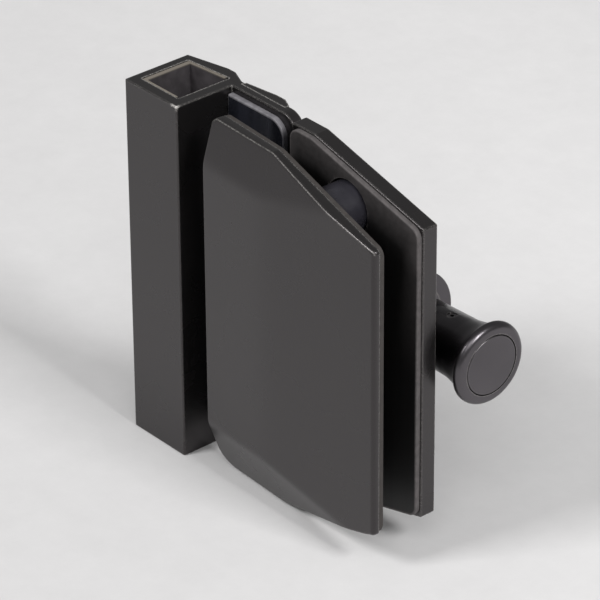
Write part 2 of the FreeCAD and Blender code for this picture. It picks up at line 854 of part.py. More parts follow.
def guide_screw():
    """The dog-point screw from below that runs in the bolt's slot."""
    bore_z = -bolt_radius - slip_clearance
    dog_end_z = guide_dog_reach - bolt_radius
    head_z = guide_screw_recess - housing_radius
    dog = cylinder(guide_dog_radius, Vector(guide_screw_x, bolt_axis_y, dog_end_z), -Z_AXIS,
                   dog_end_z - bore_z)
    body = cylinder(guide_screw_radius, Vector(guide_screw_x, bolt_axis_y, bore_z), -Z_AXIS,
                    bore_z - head_z)
    head = Vector(guide_screw_x, bolt_axis_y, head_z)
    socket = hexagon_bar(guide_screw_radius * socket_corner_share, head, Z_AXIS,
                         guide_screw_radius * socket_depth_share)
    return dog.fuse(body).cut(socket)


def buffer_ring():
    """The rubber ring that the knob lands on."""
    inner = rod_radius + 2 * slip_clearance
    return tube(inner + buffer_wall, inner, Vector(housing_end_x, bolt_axis_y, 0), X_AXIS, buffer_thickness)


def knob():
    """The pull knob: a stem that widens gently, a short flare and a rounded rim."""
    flare_start_x = stem_start_x + stem_length
    axis = Vector(0, bolt_axis_y, 0)

    def at(x, radius):
        return axis + Vector(x, radius, 0)

    rear_corner = knob_rear_round * (1 - math.sqrt(0.5))
    front_corner = knob_front_round * (1 - math.sqrt(0.5))
    stem_start = at(stem_start_x, stem_start_radius - edge_round)
    stem_edge = at(stem_start_x + edge_round, stem_start_radius)
    flare_start = at(flare_start_x, stem_end_radius)
    flare_middle = at(flare_start_x + flare_bend_from_start, stem_end_radius + flare_bend_rise)
    flare_end = at(knob_rim_x, knob_radius - knob_rear_round)
    rim_start = at(knob_rim_x + knob_rear_round, knob_radius)
    rim_end = at(knob_face_x - knob_front_round, knob_radius)
    face_start = at(knob_face_x, knob_radius - knob_front_round)
    recess_x = knob_face_x - knob_cap_thickness + knob_cap_proud
    recess_radius = knob_cap_radius + knob_cap_groove
    edges = [
        Part.LineSegment(at(stem_start_x, 0), stem_start),
        Part.LineSegment(stem_start, stem_edge),
        Part.LineSegment(stem_edge, flare_start),
        Part.Arc(flare_start, flare_middle, flare_end),
        Part.Arc(flare_end, at(knob_rim_x + rear_corner, knob_radius - rear_corner), rim_start),
        Part.LineSegment(rim_start, rim_end),
        Part.Arc(rim_end, at(knob_face_x - front_corner, knob_radius - front_corner), face_start),
        Part.LineSegment(face_start, at(knob_face_x, recess_radius)),
        Part.LineSegment(at(knob_face_x, recess_radius), at(recess_x, recess_radius)),
        Part.LineSegment(at(recess_x, recess_radius), at(recess_x, 0)),
        Part.LineSegment(at(recess_x, 0), at(stem_start_x, 0)),
    ]
    profile = Part.Wire([edge.toShape() for edge in edges])
    body = Part.Face(profile).revolve(axis, X_AXIS, 360)
    bore = cylinder(rod_radius + slip_clearance, Vector(stem_start_x, bolt_axis_y, 0), X_AXIS,
                    rod_end_x - stem_start_x + rod_end_gap)
    grub_start = Vector(stem_start_x + grub_from_stem, bolt_axis_y, 0)
    grub_hole = cylinder(grub_radius + slip_clearance, grub_start, Z_AXIS, knob_radius)
    return body.cut(bore).cut(grub_hole)


def knob_cap():
    """The disc set in the knob's face."""
    start = Vector(knob_face_x - knob_cap_thickness + knob_cap_proud, bolt_axis_y, 0)
    disc = cylinder(knob_cap_radius, start, X_AXIS, knob_cap_thickness)
    return round_edges(disc, edge_round,
                       lambda edge: lies_at(edge, "x", knob_face_x + knob_cap_proud))


def knob_grub_screw():
    """The set screw that fixes the knob on the rod."""
    x = stem_start_x + grub_from_stem
    start_z = rod_radius + slip_clearance
    stem_radius = stem_start_radius + (stem_end_radius - stem_start_radius) * grub_from_stem / stem_length
    length = stem_radius - grub_recess - start_z
    screw = cylinder(grub_radius, Vector(x, bolt_axis_y, start_z), Z_AXIS, length)
    head = Vector(x, bolt_axis_y, start_z + length)
    socket = hexagon_bar(grub_socket_radius, head, -Z_AXIS, grub_socket_depth)
    return screw.cut(socket)


def pieces():
    """Every piece of the latch under its own name."""
    return {
        "receiver_body": receiver_body(),
        "backing_channel": backing_channel(),
        "access_plugs": access_plugs(),
        "stop_gasket": stop_gasket(),
        "striker_block": striker_block(),
        "striker_screws": striker_screws(),
        "back_plate": back_plate(),
        "back_gasket": back_gasket(),
        "upper_sleeve": boss_sleeve(boss_heights[1]),
        "lower_sleeve": boss_sleeve(boss_heights[0]),
        "upper_spacer": boss_spacer(boss_heights[1]),
        "lower_spacer": boss_spacer(boss_heights[0]),
        "clamp_screws": clamp_screws(),
        "front_plate": front_plate(),
        "front_gasket": front_gasket(),
        "bolt_housing": bolt_housing(),
        "housing_screws": housing_screws(),
        "end_cap": end_cap(),
        "rod_bush": rod_bush(),
        "guide_screw": guide_screw(),
        "buffer_ring": buffer_ring(),
        "latch_bolt": latch_bolt(),
        "bolt_rod": bolt_rod(),
        "return_spring": return_spring(),
        "spring_washer": spring_washer(),
        "knob": knob(),
        "knob_cap": knob_cap(),
        "knob_grub_screw": knob_grub_screw(),
    }


os.makedirs("parts", exist_ok=True)
for name, shape in pieces().items():
    shape.exportStep(os.path.join("parts", name + ".step"))
    print(name, "solids", len(shape.Solids), "valid", shape.isValid(), "volume", round(shape.Volume, 2))
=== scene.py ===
"""Glass pool gate latch: its surfaces, its finishes and the studio that it stands in."""

import math
from functools import partial

import bpy
import numpy as np
from bpy.props import FloatProperty, FloatVectorProperty, IntProperty, PointerProperty
from mathutils import Matrix, Vector


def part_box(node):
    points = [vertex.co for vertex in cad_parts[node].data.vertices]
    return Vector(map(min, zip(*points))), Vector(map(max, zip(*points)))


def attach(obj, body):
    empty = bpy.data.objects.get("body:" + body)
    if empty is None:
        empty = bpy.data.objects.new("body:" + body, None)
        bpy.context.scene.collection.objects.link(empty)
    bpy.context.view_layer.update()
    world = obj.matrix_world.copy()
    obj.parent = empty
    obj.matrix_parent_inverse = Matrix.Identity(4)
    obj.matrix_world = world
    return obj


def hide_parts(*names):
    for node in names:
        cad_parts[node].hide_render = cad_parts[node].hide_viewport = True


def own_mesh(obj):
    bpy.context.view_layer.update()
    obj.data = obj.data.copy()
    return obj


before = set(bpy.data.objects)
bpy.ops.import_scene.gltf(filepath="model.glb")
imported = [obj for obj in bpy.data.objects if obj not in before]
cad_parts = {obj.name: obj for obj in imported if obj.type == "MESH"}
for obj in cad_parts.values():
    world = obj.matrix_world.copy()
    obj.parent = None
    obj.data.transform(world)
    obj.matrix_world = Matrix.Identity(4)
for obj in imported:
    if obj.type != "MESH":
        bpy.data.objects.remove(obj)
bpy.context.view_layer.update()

bl_info = {
    "name": "Pool gate latch",
    "version": (1, 0, 0),
    "blender": (4, 5, 0),
    "location": "View3D > Sidebar > Gate latch",
    "description": "Builds the cast plate, the rubber pads, the pull knob and the spring of a gate latch",
    "category": "Object",
}


# Colours and sizes that a user can change

def linear_colour(hex_text):
    """A colour written as sRGB hex, turned to linear light."""
    values = np.array([int(hex_text[i:i + 2], 16) for i in (1, 3, 5)]) / 255
    linear = np.where(values <= 0.04045, values / 12.92, ((values + 0.055) / 1.055) ** 2.4)
    return tuple(float(value) for value in linear)


def colour_setting(name, description, hex_text):
    """A colour that the panel shows as a swatch."""
    return FloatVectorProperty(name=name, description=description, subtype="COLOR", size=3,
                               min=0.0, max=1.0, default=linear_colour(hex_text))


def mm(name, description, millimetres):
    """A length, written here in millimetres and kept in metres."""
    return FloatProperty(name=name, description=description, unit="LENGTH", default=millimetres / 1000)


def degrees(name, description, angle):
    """An angle, written here in degrees and kept in radians."""
    return FloatProperty(name=name, description=description, subtype="ANGLE", default=math.radians(angle))


def plain_setting(name, description, value):
    """A number without one of Blender's own units."""
    return FloatProperty(name=name, description=description, default=value)


def share_setting(name, description, share):
    """A share of a whole."""
    return FloatProperty(name=name, description=description, subtype="FACTOR", min=0.0, max=1.0,
                         default=share)


def place_setting(name, description, metres):
    """A place in the room."""
    return FloatVectorProperty(name=name, description=description, subtype="TRANSLATION", unit="LENGTH",
                               size=3, default=metres)


class LatchColours(bpy.types.PropertyGroup):
    powder_coat: colour_setting("Powder coat", "Black coating of the post and plates", "#151414")
    # The pale edge colour is rubbed, dusty wear and also a painted highlight along the edges
    edge_wear_and_glint: colour_setting("Coat edge", "Rubbed and dusty edges of the coating", "#b4b1ad")
    black_steel: colour_setting("Blackened steel", "Dark metal of the knob and barrel", "#5b585b")
    mill_steel: colour_setting("Mill steel", "Dull rolled steel of the channel in the post", "#858083")
    cut_steel: colour_setting("Cut steel", "Bare cut edge of the channel in the post", "#b9b1a6")
    pad_rubber: colour_setting("Pad rubber", "Rubber of the clamp pads", "#0f0e0e")
    front_rim: colour_setting("Front pad rim", "Dusty cut rim of the front pad", "#403c3a")
    rear_rim: colour_setting("Rear pad rim", "Chalky cut rim of the rear pad", "#5c5858")
    # The stop pad's pale rim is chalky and also a painted highlight along its top
    stop_rim_and_highlight: colour_setting("Stop pad rim", "Chalky cut rim of the stop pad", "#807e82")
    stop_rubber: colour_setting("Stop rubber", "Glossy rubber of the stop pad", "#1d1e24")
    sleeve_plastic: colour_setting("Sleeve plastic", "Moulded plastic of the boss sleeves", "#2a292f")
    bare_steel: colour_setting("Bare steel", "Stainless steel of the bolt, spring and spacers", "#b3afa8")
    floor_paper: colour_setting("Floor paper", "Pale paper that the latch stands on", "#dad9d9")


class CoatSizes(bpy.types.PropertyGroup):
    reach: mm("Rubbed band", "How far the coat is rubbed from an edge", 0.7)
    steel_reach: mm("Rubbed steel", "How far blackened steel is rubbed from an edge", 0.6)
    # The post's front top corner carries a painted glint, not a chip: these say where the glint sits and how
    # far it reaches
    post_width: mm("Post width", "From the wall to the post's chipped corner", 20.0)
    glint_shift: mm("Chip shift", "From the post's corner to the middle of the chip", 0.9)
    glint_radius: mm("Chip radius", "How far the chip reaches", 1.7)


class ClampPlateSizes(bpy.types.PropertyGroup):
    boss_x: mm("Boss position", "Distance of the bosses from the wall", 66.0)
    hinge_y: mm("Tipping line", "Depth of the line that the plate tips about", -4.1)
    tip: degrees("Tip", "How far the loose plate stands tipped", 4.0)
    pad_thickness: mm("Pad thickness", "Thickness of the rubber behind the plate", 1.3)
    half_height: mm("Half height", "Half of the plate's height", 49.5)
    left_reach: mm("Left reach", "From the bosses to the left edge", 37.4)
    right_reach: mm("Right reach", "From the bosses to the right edge", 25.5)
    top_kink: mm("Top kink", "From the bosses left to where the top starts to fall", 13.7)
    bottom_kink: mm("Bottom kink", "From the bosses left to where the bottom starts to rise", 12.3)
    drop: mm("Drop", "How far the top falls and the bottom rises to the right edge", 10.1)
    ridge: mm("Ridge", "From the bosses left to the ridge between the two wings", 14.5)
    left_thickness: mm("Left thickness", "Metal at the left edge", 6.2)
    ridge_thickness: mm("Ridge thickness", "Metal at the ridge", 5.65)
    right_thickness: mm("Right thickness", "Metal at the right edge", 1.95)
    top_thickness: mm("Top thickness", "Metal at the top edge", 2.25)
    bottom_thickness: mm("Bottom thickness", "Metal at the bottom edge", 0.9)
    top_facet: mm("Top facet", "Height of the sloping facet at the top", 12.0)
    bottom_facet: mm("Bottom facet", "Height of the sloping facet at the bottom", 13.3)
    crease: mm("Crease softness", "How far the cast face rounds off between facets", 0.16)
    right_corner: mm("Right corners", "Corner radius at the right edge", 1.2)
    top_corner: mm("Top corner", "Corner radius at the top left", 2.2)
    bottom_corner: mm("Bottom corner", "Corner radius at the bottom left", 5.0)
    kink_round: mm("Kink round", "Radius of the outline where it starts to fall", 2.0)
    middle_shift: mm("Middle shift", "From the bosses left to the face's middle", 6.0)
    # The plate's upper rim is painted pale, as wear and as a painted highlight along it
    rim_wear: share_setting("Rim wear", "How worn the coat is along the upper rim", 0.42)
    rim_round: mm("Rim round", "Radius of the face's rim", 0.55)
    end_round: mm("End round", "Radius of the face's rim at the right end", 1.1)
    end_blend: mm("End blend", "Length over which the rim's radius grows to the end's", 3.0)
    rear_round: mm("Rear round", "Radius of the plate's rear edge", 0.25)
    screw_hole: mm("Screw hole", "Radius of the blind screw holes in the rear", 3.45)
    screw_depth: mm("Screw hole depth", "Depth of the blind screw holes", 3.2)


class PadSizes(bpy.types.PropertyGroup):
    rim_round: mm("Rim round", "Radius of the pads' rims", 0.35)
    rear_round: mm("Rear round", "Radius of the pads' rear edges", 0.1)
    rim_band: mm("Rim band", "Width of the pale band round the pads", 0.4)
    clamp_inset: mm("Front pad inset", "Front pad inside the front plate's outline", 0.15)
    clamp_corner: mm("Front pad corner", "Corner radius of the front pad's right corners", 2.6)
    rear_inset: mm("Rear pad inset", "Rear pad inside the rear plate's outline", 0.5)
    rear_flat: mm("Rear flat", "Flat top of the rear plate", 8.3)
    rear_drop: mm("Rear drop", "How far the rear plate's top falls", 9.8)
    rear_corner: mm("Rear corner", "Corner radius of the rear pad", 3.0)
    rear_kink: mm("Rear kink", "Radius of the rear pad where its top starts to fall", 2.0)
    stop_corner: mm("Stop corner", "Corner radius of the stop pad", 4.6)
    stop_inner_corner: mm("Stop inner corner", "Corner radius of the stop pad at the post", 0.5)
    sleeve_hole: mm("Sleeve hole", "Radius of the rear pad's holes", 7.3)
    spacer_hole: mm("Spacer hole", "Radius of the front pad's holes", 5.75)


class KnobSizes(bpy.types.PropertyGroup):
    axis_y: mm("Axis", "Depth of the bolt's axis", 22.2)
    start_x: mm("Start", "Where the stem starts", 71.2)
    stem_length: mm("Stem length", "Length of the stem before the flare", 17.6)
    start_radius: mm("Start radius", "Radius of the stem at its start", 7.4)
    end_radius: mm("End radius", "Radius of the stem at the flare", 7.9)
    flare_length: mm("Flare length", "Length of the flare", 7.3)
    straight: share_setting("Straightness", "Share of a straight cone in the flare", 0.5)
    rim_width: mm("Rim width", "Width of the knob's rim", 2.5)
    rim_radius: mm("Rim radius", "Radius of the knob's rim", 10.8)
    rear_round: mm("Rear round", "Radius of the rim's rear edge", 0.6)
    front_round: mm("Front round", "Radius of the rim's front edge", 1.7)
    edge_round: mm("Edge round", "Rounding of the stem's start and of the disc", 0.35)
    cap_radius: mm("Cap radius", "Radius of the disc in the knob's face", 7.85)
    cap_groove: mm("Cap groove", "Width of the groove round the disc", 0.2)
    cap_depth: mm("Cap depth", "Depth of the disc's seat", 1.5)
    cap_proud: mm("Cap proud", "How far the disc stands out of the rim", 0.1)
    rod_radius: mm("Rod bore", "Radius of the bore for the rod", 4.05)
    rod_depth: mm("Rod bore depth", "Depth of the bore for the rod", 21.3)
    grub_hole: mm("Grub hole", "Radius of the set screw's hole", 1.3)
    grub_from_start: mm("Grub place", "From the stem's start to the set screw", 13.2)
    turns: IntProperty(name="Segments", description="Faces round the knob", default=144, min=24)


class SpringSizes(bpy.types.PropertyGroup):
    mean_radius: mm("Mean radius", "From the coil's axis to the middle of its wire", 5.1)
    wire: mm("Wire", "Diameter of the wire", 1.0)
    end_pitch: mm("End pitch", "Rise of the close turn at each end", 1.5)
    travel: mm("Travel", "How far the bolt presses the spring together", 12.0)
    active_turns: IntProperty(name="Active turns", description="Turns between the two end turns",
                              default=5, min=1)


class StudioSettings(bpy.types.PropertyGroup):
    azimuth: degrees("Azimuth", "Camera's angle round the latch", 49.526)
    elevation: degrees("Elevation", "Camera's angle above the floor", 30.389)
    roll: degrees("Roll", "Camera's turn about its own axis", -0.402)
    distance: mm("Distance", "Camera to the aim point", 1035.313)
    lens: plain_setting("Lens", "Focal length on a 36 mm sensor, in millimetres", 253.332)
    aim_x: mm("Aim X", "Aim point across the latch", 48.057)
    aim_y: mm("Aim Y", "Aim point along the depth", 4.996)
    aim_z: mm("Aim Z", "Aim point's height", 2.515)
    front_lamp: plain_setting("Front lamp", "Power of the lamp in front, in watts", 27.5)
    right_lamp: plain_setting("Right lamp", "Power of the lamp on the right, in watts", 31.0)
    fill_lamp: plain_setting("Fill lamp", "Power of the wide lamp by the camera, in watts", 15.0)
    front_place: place_setting("Front place", "Where the front lamp hangs", (-0.50, -1.62, 1.70))
    right_place: place_setting("Right place", "Where the right lamp hangs", (1.78, 0.14, 1.60))
    fill_place: place_setting("Fill place", "Where the fill lamp hangs", (1.30, -1.10, 1.90))
    front_size: mm("Front size", "Side of the front lamp", 640.0)
    right_size: mm("Right size", "Side of the right lamp", 640.0)
    fill_size: mm("Fill size", "Side of the fill lamp", 1400.0)
    room: plain_setting("Room light", "Strength of the light from the room", 0.25)
    floor_side: mm("Floor side", "Side of the sheet of paper", 8000.0)


# Meshes

# A cutter starts and ends this far outside the piece that it cuts, in metres
CUT_MARGIN = 0.0005

# An edge stays sharp where its faces turn by more than this, on a piece with cut holes and on a round one
CUT_EDGE = math.radians(50)
ROUND_EDGE = math.radians(60)


def mesh_object(name, points, *faces):
    """An object from points and arrays of faces.

    The faces of a closed surface turn outwards: the volume that they enclose, a sum of a . (b x c) over
    their triangles, is kept positive.
    """
    halves = [part[:, [0, last - 1, last]] for part in faces for last in range(2, part.shape[1])]
    a, b, c = points[np.concatenate(halves)].transpose(1, 0, 2)
    if np.einsum("ij,ij->", a, np.cross(b, c)) < 0:
        faces = [part[:, ::-1] for part in faces]
    mesh = bpy.data.meshes.new(name)
    mesh.from_pydata(points.tolist(), [], [face for part in faces for face in part.tolist()])
    mesh.shade_smooth()
    made = bpy.data.objects.new(name, mesh)
    bpy.context.scene.collection.objects.link(made)
    return made


def closed_surface(name, rows):
    """A surface from rows of points: every row is a ring, and the first and last are single points.

    Point (i, j) of the grid is joined to (i + 1, j) and (i, j + 1), and the last of a ring to its first.
    """
    rings = rows[1:-1]
    count, around = rings.shape[:2]
    points = np.concatenate([rings.reshape(-1, 3), rows[:1, 0], rows[-1:, 0]])
    here = np.arange(around)
    after = (here + 1) % around
    starts = (np.arange(count - 1) * around)[:, None]
    quads = np.stack([starts + here, starts + after, starts + around + after, starts + around + here], -1)
    first, last = count * around, count * around + 1
    end = (count - 1) * around
    fans = np.concatenate([np.stack([np.full(around, first), after, here], -1),
                           np.stack([np.full(around, last), end + here, end + after], -1)])
    return mesh_object(name, points, quads.reshape(-1, 4), fans)


def keep_values(made, name, rows):
    """Keeps a number for each point of a closed surface, for the material to read."""
    values = np.concatenate([rows[1:-1].ravel(), rows[:1, 0], rows[-1:, 0]])
    layer = made.data.attributes.new(name, "FLOAT", "POINT")
    layer.data.foreach_set("value", values.astype(np.float32))


def revolved(name, axis_start, profile, turns):
    """A profile of (distance along X, radius) points turned about a line along X.

    Each point is (x, y + radius * sine of the turn, z + radius * cosine of the turn).
    """
    turn = np.arange(turns) * 2 * np.pi / turns
    along = np.broadcast_to(profile[:, :1], (len(profile), turns))
    radius = profile[:, 1:]
    rows = np.stack([axis_start[0] + along, axis_start[1] + radius * np.sin(turn),
                     axis_start[2] + radius * np.cos(turn)], -1)
    return closed_surface(name, rows)


def coiled_wire(name, start, length, sizes, steps=48, around=16):
    """A compression spring's wire, coiled about a line along X.

    The middle of the wire is (climb, radius * cosine of the angle, radius * sine of the angle), and it
    climbs slowly in the first and last turn. Round each point of it stands a ring, in the plane of the
    outward direction and of the one square to that and to the wire.
    """
    turns = sizes.active_turns + 2
    turn = np.linspace(0, turns, turns * steps + 1)
    top = length - sizes.wire
    climb = sizes.wire / 2 + np.interp(turn, [0, 1, turns - 1, turns],
                                       [0, sizes.end_pitch, top - sizes.end_pitch, top])
    angle = 2 * np.pi * turn
    outward = np.stack([np.zeros_like(turn), np.cos(angle), np.sin(angle)], -1)
    middle = np.array(start) + sizes.mean_radius * outward
    middle[:, 0] += climb
    ahead = np.gradient(middle, axis=0)
    ahead /= np.linalg.norm(ahead, axis=1, keepdims=True)
    square = np.cross(ahead, outward)
    around_wire = np.linspace(0, 2 * np.pi, around, endpoint=False)[:, None]
    rings = middle[:, None] + sizes.wire / 2 * (np.cos(around_wire) * outward[:, None]
                                                + np.sin(around_wire) * square[:, None])
    ends = np.repeat(middle[[0, -1], None], around, 1)
    return closed_surface(name, np.concatenate([ends[:1], rings, ends[1:]]))


def rounded_outline(corners, run_steps, arc_steps):
    """A closed outline through (u, v, radius) corners, with the unit normal that points out at each point.

    A corner's arc has its middle where the two sides, moved in by the radius, meet. Its points stand at
    the radius from there, and their angle goes evenly from one side's normal to the next side's.
    """
    corners = np.array(corners, float)
    at, radius = corners[:, :2], corners[:, 2:]
    ahead = np.roll(at, -1, 0) - at
    ahead /= np.linalg.norm(ahead, axis=1, keepdims=True)
    behind = np.roll(ahead, 1, 0)
    normal_in = np.stack([behind[:, 1], -behind[:, 0]], 1)
    normal_out = np.stack([ahead[:, 1], -ahead[:, 0]], 1)
    half = (normal_in + normal_out) / (1 + np.sum(normal_in * normal_out, 1, keepdims=True))
    middle = at - half * radius
    start = np.arctan2(normal_in[:, 1], normal_in[:, 0])
    turn = np.arctan2(normal_out[:, 1], normal_out[:, 0]) - start
    turn = (turn + np.pi) % (2 * np.pi) - np.pi
    share = np.linspace(0, 1, arc_steps)
    angle = start[:, None] + turn[:, None] * share
    normals = np.stack([np.cos(angle), np.sin(angle)], -1)
    arcs = middle[:, None] + normals * radius[:, None]
    nearest = np.roll(arcs[:, 0], -1, 0)
    run = np.linspace(0, 1, run_steps + 2)[1:-1, None]
    runs = arcs[:, -1:] + (nearest - arcs[:, -1])[:, None] * run
    run_normals = np.broadcast_to(normal_out[:, None], runs.shape)
    points = np.concatenate([arcs, runs], 1).reshape(-1, 2)
    return points, np.concatenate([normals, run_normals], 1).reshape(-1, 2)


def quarter_round(radius, steps):
    """How far a rounded edge draws in and falls: radius * (1 - sine) and radius * (1 - cosine)."""
    angle = np.linspace(0, np.pi / 2, steps)
    return np.multiply.outer(1 - np.sin(angle), radius), np.multiply.outer(1 - np.cos(angle), radius)


def slab_rows(outline, normals, centre, face_rows, rim_round, rear_round, thickness_at):
    """The rows of a plate: its face from the middle out, its rim, its wall, and its rear back to the middle.

    On the face a point is the middle plus a share of the way to the drawn-in outline. On the rim it is
    the outline moved in along its normal. Its height is the face's thickness less the fall of the rim.
    The radius of the rim may differ from point to point of the outline. Each point's distance from the
    outline comes back as well, in millimetres.
    """
    rim_rows, rear_rows, back_rows = 11, 4, 12
    draw, fall = quarter_round(np.broadcast_to(rim_round, len(outline)), rim_rows)
    rear_draw, rear_fall = quarter_round(np.broadcast_to(rear_round, len(outline)), rear_rows)
    rim = outline - normals * draw[..., None]
    rear = outline - normals * rear_draw[::-1, :, None]
    face_share = np.linspace(0, 1, face_rows)[:-1, None, None]
    face = centre + (rim[0] - centre) * face_share
    back_share = np.linspace(1, 0, back_rows)[1:, None, None]
    back = centre + (rear[-1] - centre) * back_share
    plan = np.concatenate([face, rim, rear, back])
    height = np.concatenate([thickness_at(face), thickness_at(rim) - fall,
                             np.minimum(rear_fall[::-1], thickness_at(outline)), np.zeros(back.shape[:2])])
    from_rim = np.concatenate([np.linalg.norm(face - outline, axis=-1), draw, np.zeros(rear.shape[:2]),
                               np.linalg.norm(back - outline, axis=-1)])
    return plan, height, from_rim * 1000


def cut_round_holes(made, holes, axis, segments=72):
    """Cuts round holes of (start point, radius, depth) along an axis, and keeps the result as a plain mesh.

    Each cutter is a drum: a point at each end and rings of the radius between. Its walls count as far
    from the rim.
    """
    far_from_rim = 10.0
    turn = np.arange(segments) * 2 * np.pi / segments
    along = Vector(axis)
    side = along.orthogonal().normalized()
    other = along.cross(side)
    ring = np.outer(np.cos(turn), side) + np.outer(np.sin(turn), other)
    cutters = []
    for start, radius, depth in holes:
        base = np.array(start)
        tip = base + np.array(along) * depth
        rows = np.stack([np.broadcast_to(base, ring.shape), base + ring * radius,
                         tip + ring * radius, np.broadcast_to(tip, ring.shape)])
        cutter = closed_surface("hole", rows)
        keep_values(cutter, "from_rim", np.full(rows.shape[:2], far_from_rim))
        cutters.append(cutter)
        modifier = made.modifiers.new("hole", "BOOLEAN")
        modifier.operation = "DIFFERENCE"
        modifier.solver = "EXACT"
        modifier.object = cutter
    whole = made.data
    made.data = bpy.data.meshes.new_from_object(made.evaluated_get(bpy.context.evaluated_depsgraph_get()))
    made.data.name = made.name
    made.modifiers.clear()
    bpy.data.meshes.remove(whole)
    for cutter in cutters:
        bpy.data.meshes.remove(cutter.data)
    made.data.set_sharp_from_angle(angle=CUT_EDGE)


def tipped_place(sizes, plan, height):
    """The clamp plate's own frame, (along, up) and depth from its rear, turned to where it stands.

    The plate turns about the upright tipping line: x and y are turned by the tip angle round it.
    """
    turn = -sizes.tip
    along = plan[..., 0]
    depth = -sizes.pad_thickness - height
    x = sizes.boss_x + along * math.cos(turn) - depth * math.sin(turn)
    y = sizes.hinge_y + along * math.sin(turn) + depth * math.cos(turn)
    return np.stack([x, y, plan[..., 1]], -1)


def clamp_outline(sizes, inset, right_corner):
    """The corners of the front plate or of its pad, drawn in by an inset."""
    half = sizes.half_height - inset
    end_half = half - sizes.drop
    start = inset - sizes.left_reach
    end = sizes.right_reach - inset
    return [
        (start, -half, sizes.bottom_corner),
        (-sizes.bottom_kink, -half, sizes.kink_round),
        (end, -end_half, right_corner),
        (end, end_half, right_corner),
        (-sizes.top_kink, half, sizes.kink_round),
        (start, half, sizes.top_corner),
    ]


def cut_boss_holes(made, sizes, radius, before, depth):
    """Cuts a hole at each boss into a piece of the tipped plate.

    The bosses' heights are those of the middles of their sleeves. The holes start a length before the
    plate's rear.
    """
    boxes = [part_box(name) for name in ("upper_sleeve", "lower_sleeve")]
    places = np.array([(0.0, (low.z + high.z) / 2) for low, high in boxes])
    starts = tipped_place(sizes, places, np.full(len(boxes), -before))
    outward = (-math.sin(sizes.tip), -math.cos(sizes.tip), 0.0)
    cut_round_holes(made, [(start, radius, depth) for start in starts], outward)


def clamp_thickness(sizes, plan):
    """The cast face: the least of four planes, blended as minus softness times the log of a sum of powers.

    The planes are the two wings, which fall away from the ridge, and the facets above and below.
    """
    along = plan[..., 0] + sizes.ridge
    up = plan[..., 1]
    left_slope = (sizes.ridge_thickness - sizes.left_thickness) / (sizes.left_reach - sizes.ridge)
    right_slope = (sizes.right_thickness - sizes.ridge_thickness) / (sizes.right_reach + sizes.ridge)
    top_slope = (sizes.ridge_thickness - sizes.top_thickness) / sizes.top_facet
    bottom_slope = (sizes.ridge_thickness - sizes.bottom_thickness) / sizes.bottom_facet
    planes = np.stack([
        sizes.ridge_thickness + left_slope * along,
        sizes.ridge_thickness + right_slope * along,
        sizes.top_thickness + left_slope * along + top_slope * (sizes.half_height - up),
        sizes.bottom_thickness + left_slope * along + bottom_slope * (sizes.half_height + up),
    ])
    return -sizes.crease * np.log(np.sum(np.exp(-planes / sizes.crease), 0))


# Materials

# A Mix node's two colour inputs share their names with others, so they are reached by number
COLOUR_A = 6
COLOUR_B = 7

# Noise keeps mostly between these values, which are taken as its lowest and highest places
NOISE_SPAN = (0.3, 0.7)


def add_node(tree, kind, inputs=(), output=None, **settings):
    """Adds a node, sets its properties, sets or links its inputs, and returns one of its outputs.

    The kind is the name of Blender's type after "ShaderNode". The inputs are a row in the node's own
    order, or given by name or number. A MapRange node's row is the value, the low and high end that it is
    read between, and the low and high end that these become. The output is the named one, or else the
    first that the settings leave in use.
    """
    node = tree.nodes.new("ShaderNode" + kind)
    for name, value in settings.items():
        setattr(node, name, value)
    for socket, value in inputs.items() if isinstance(inputs, dict) else enumerate(inputs):
        if isinstance(value, bpy.types.NodeSocket):
            tree.links.new(value, node.inputs[socket])
        else:
            node.inputs[socket].default_value = value
    if output:
        return node.outputs[output]
    return next((socket for socket in node.outputs if socket.enabled), None)


def new_material(name):
    """An empty material, the function that adds a node to it, and the surface's own coordinates."""
    material = bpy.data.materials.new(name)
    material.use_nodes = True
    material.node_tree.nodes.clear()
    add = partial(add_node, material.node_tree)
    return material, add, add("TexCoord", output="Object")


def finish_surface(add, inputs):
    """The surface shader and the output."""
    shader = add("BsdfPrincipled", inputs)
    add("OutputMaterial", {"Surface": shader})


def opaque(colour, factor=1.0):
    """A colour with full alpha, made lighter or darker by a factor."""
    return (colour[0] * factor, colour[1] * factor, colour[2] * factor, 1.0)


def every_mm(millimetres):
    """The scale of a noise pattern with a bump every so many millimetres. The scene's unit is a metre."""
    return 1000 / millimetres


def mottled(add, cloud, colour, darker, lighter):
    """A colour in soft patches: it goes from darker to lighter as a cloud pattern rises."""
    tone = add("MapRange", (cloud, *NOISE_SPAN))
    return add("Mix", {"Factor": tone, COLOUR_A: opaque(colour, darker), COLOUR_B: opaque(colour, lighter)},
               data_type="RGBA")


def near_edge(add, reach):
    """How near to an edge a place is, from 0 to 1.

    An edge is where the normal, softened over the reach, turns away from the face's own. The two agree
    by the cosine of the angle between them, which is 1 on a flat face.
    """
    softened = add("Bevel", {"Radius": reach}, samples=6)
    own = add("NewGeometry", output="True Normal")
    agreement = add("VectorMath", (softened, own), operation="DOT_PRODUCT")
    return add("MapRange", (agreement, 0.99, 0.85))


def rubbed_and_glinting_edges(add, place, base, near, wear_and_glint_colour, most):
    """The base colour, made paler near edges by a share of at most the given one, as rubbed wear and as a
    painted highlight.

    It is paler near edges, and along the rim of a piece that has values for the wear and painted highlight
    there. Specks about 0.4 mm apart break the pale bands up.
    """
    specks = add("TexNoise", {"Vector": place, "Scale": every_mm(0.4167), "Detail": 1.0})
    broken = add("MapRange", (specks, 0.4, 0.58, 0.25))
    # Painted highlight as well as wear: the pale share near edges and along a worn rim
    edge = add("Math", (near, most), operation="MULTIPLY")
    worn = add("Attribute", output="Fac", attribute_name="rim_wear")
    either = add("Math", (edge, worn), operation="MAXIMUM")
    rubbed = add("Math", (either, broken), operation="MULTIPLY")
    return add("Mix", {"Factor": rubbed, COLOUR_A: base, COLOUR_B: opaque(wear_and_glint_colour)}, data_type="RGBA")


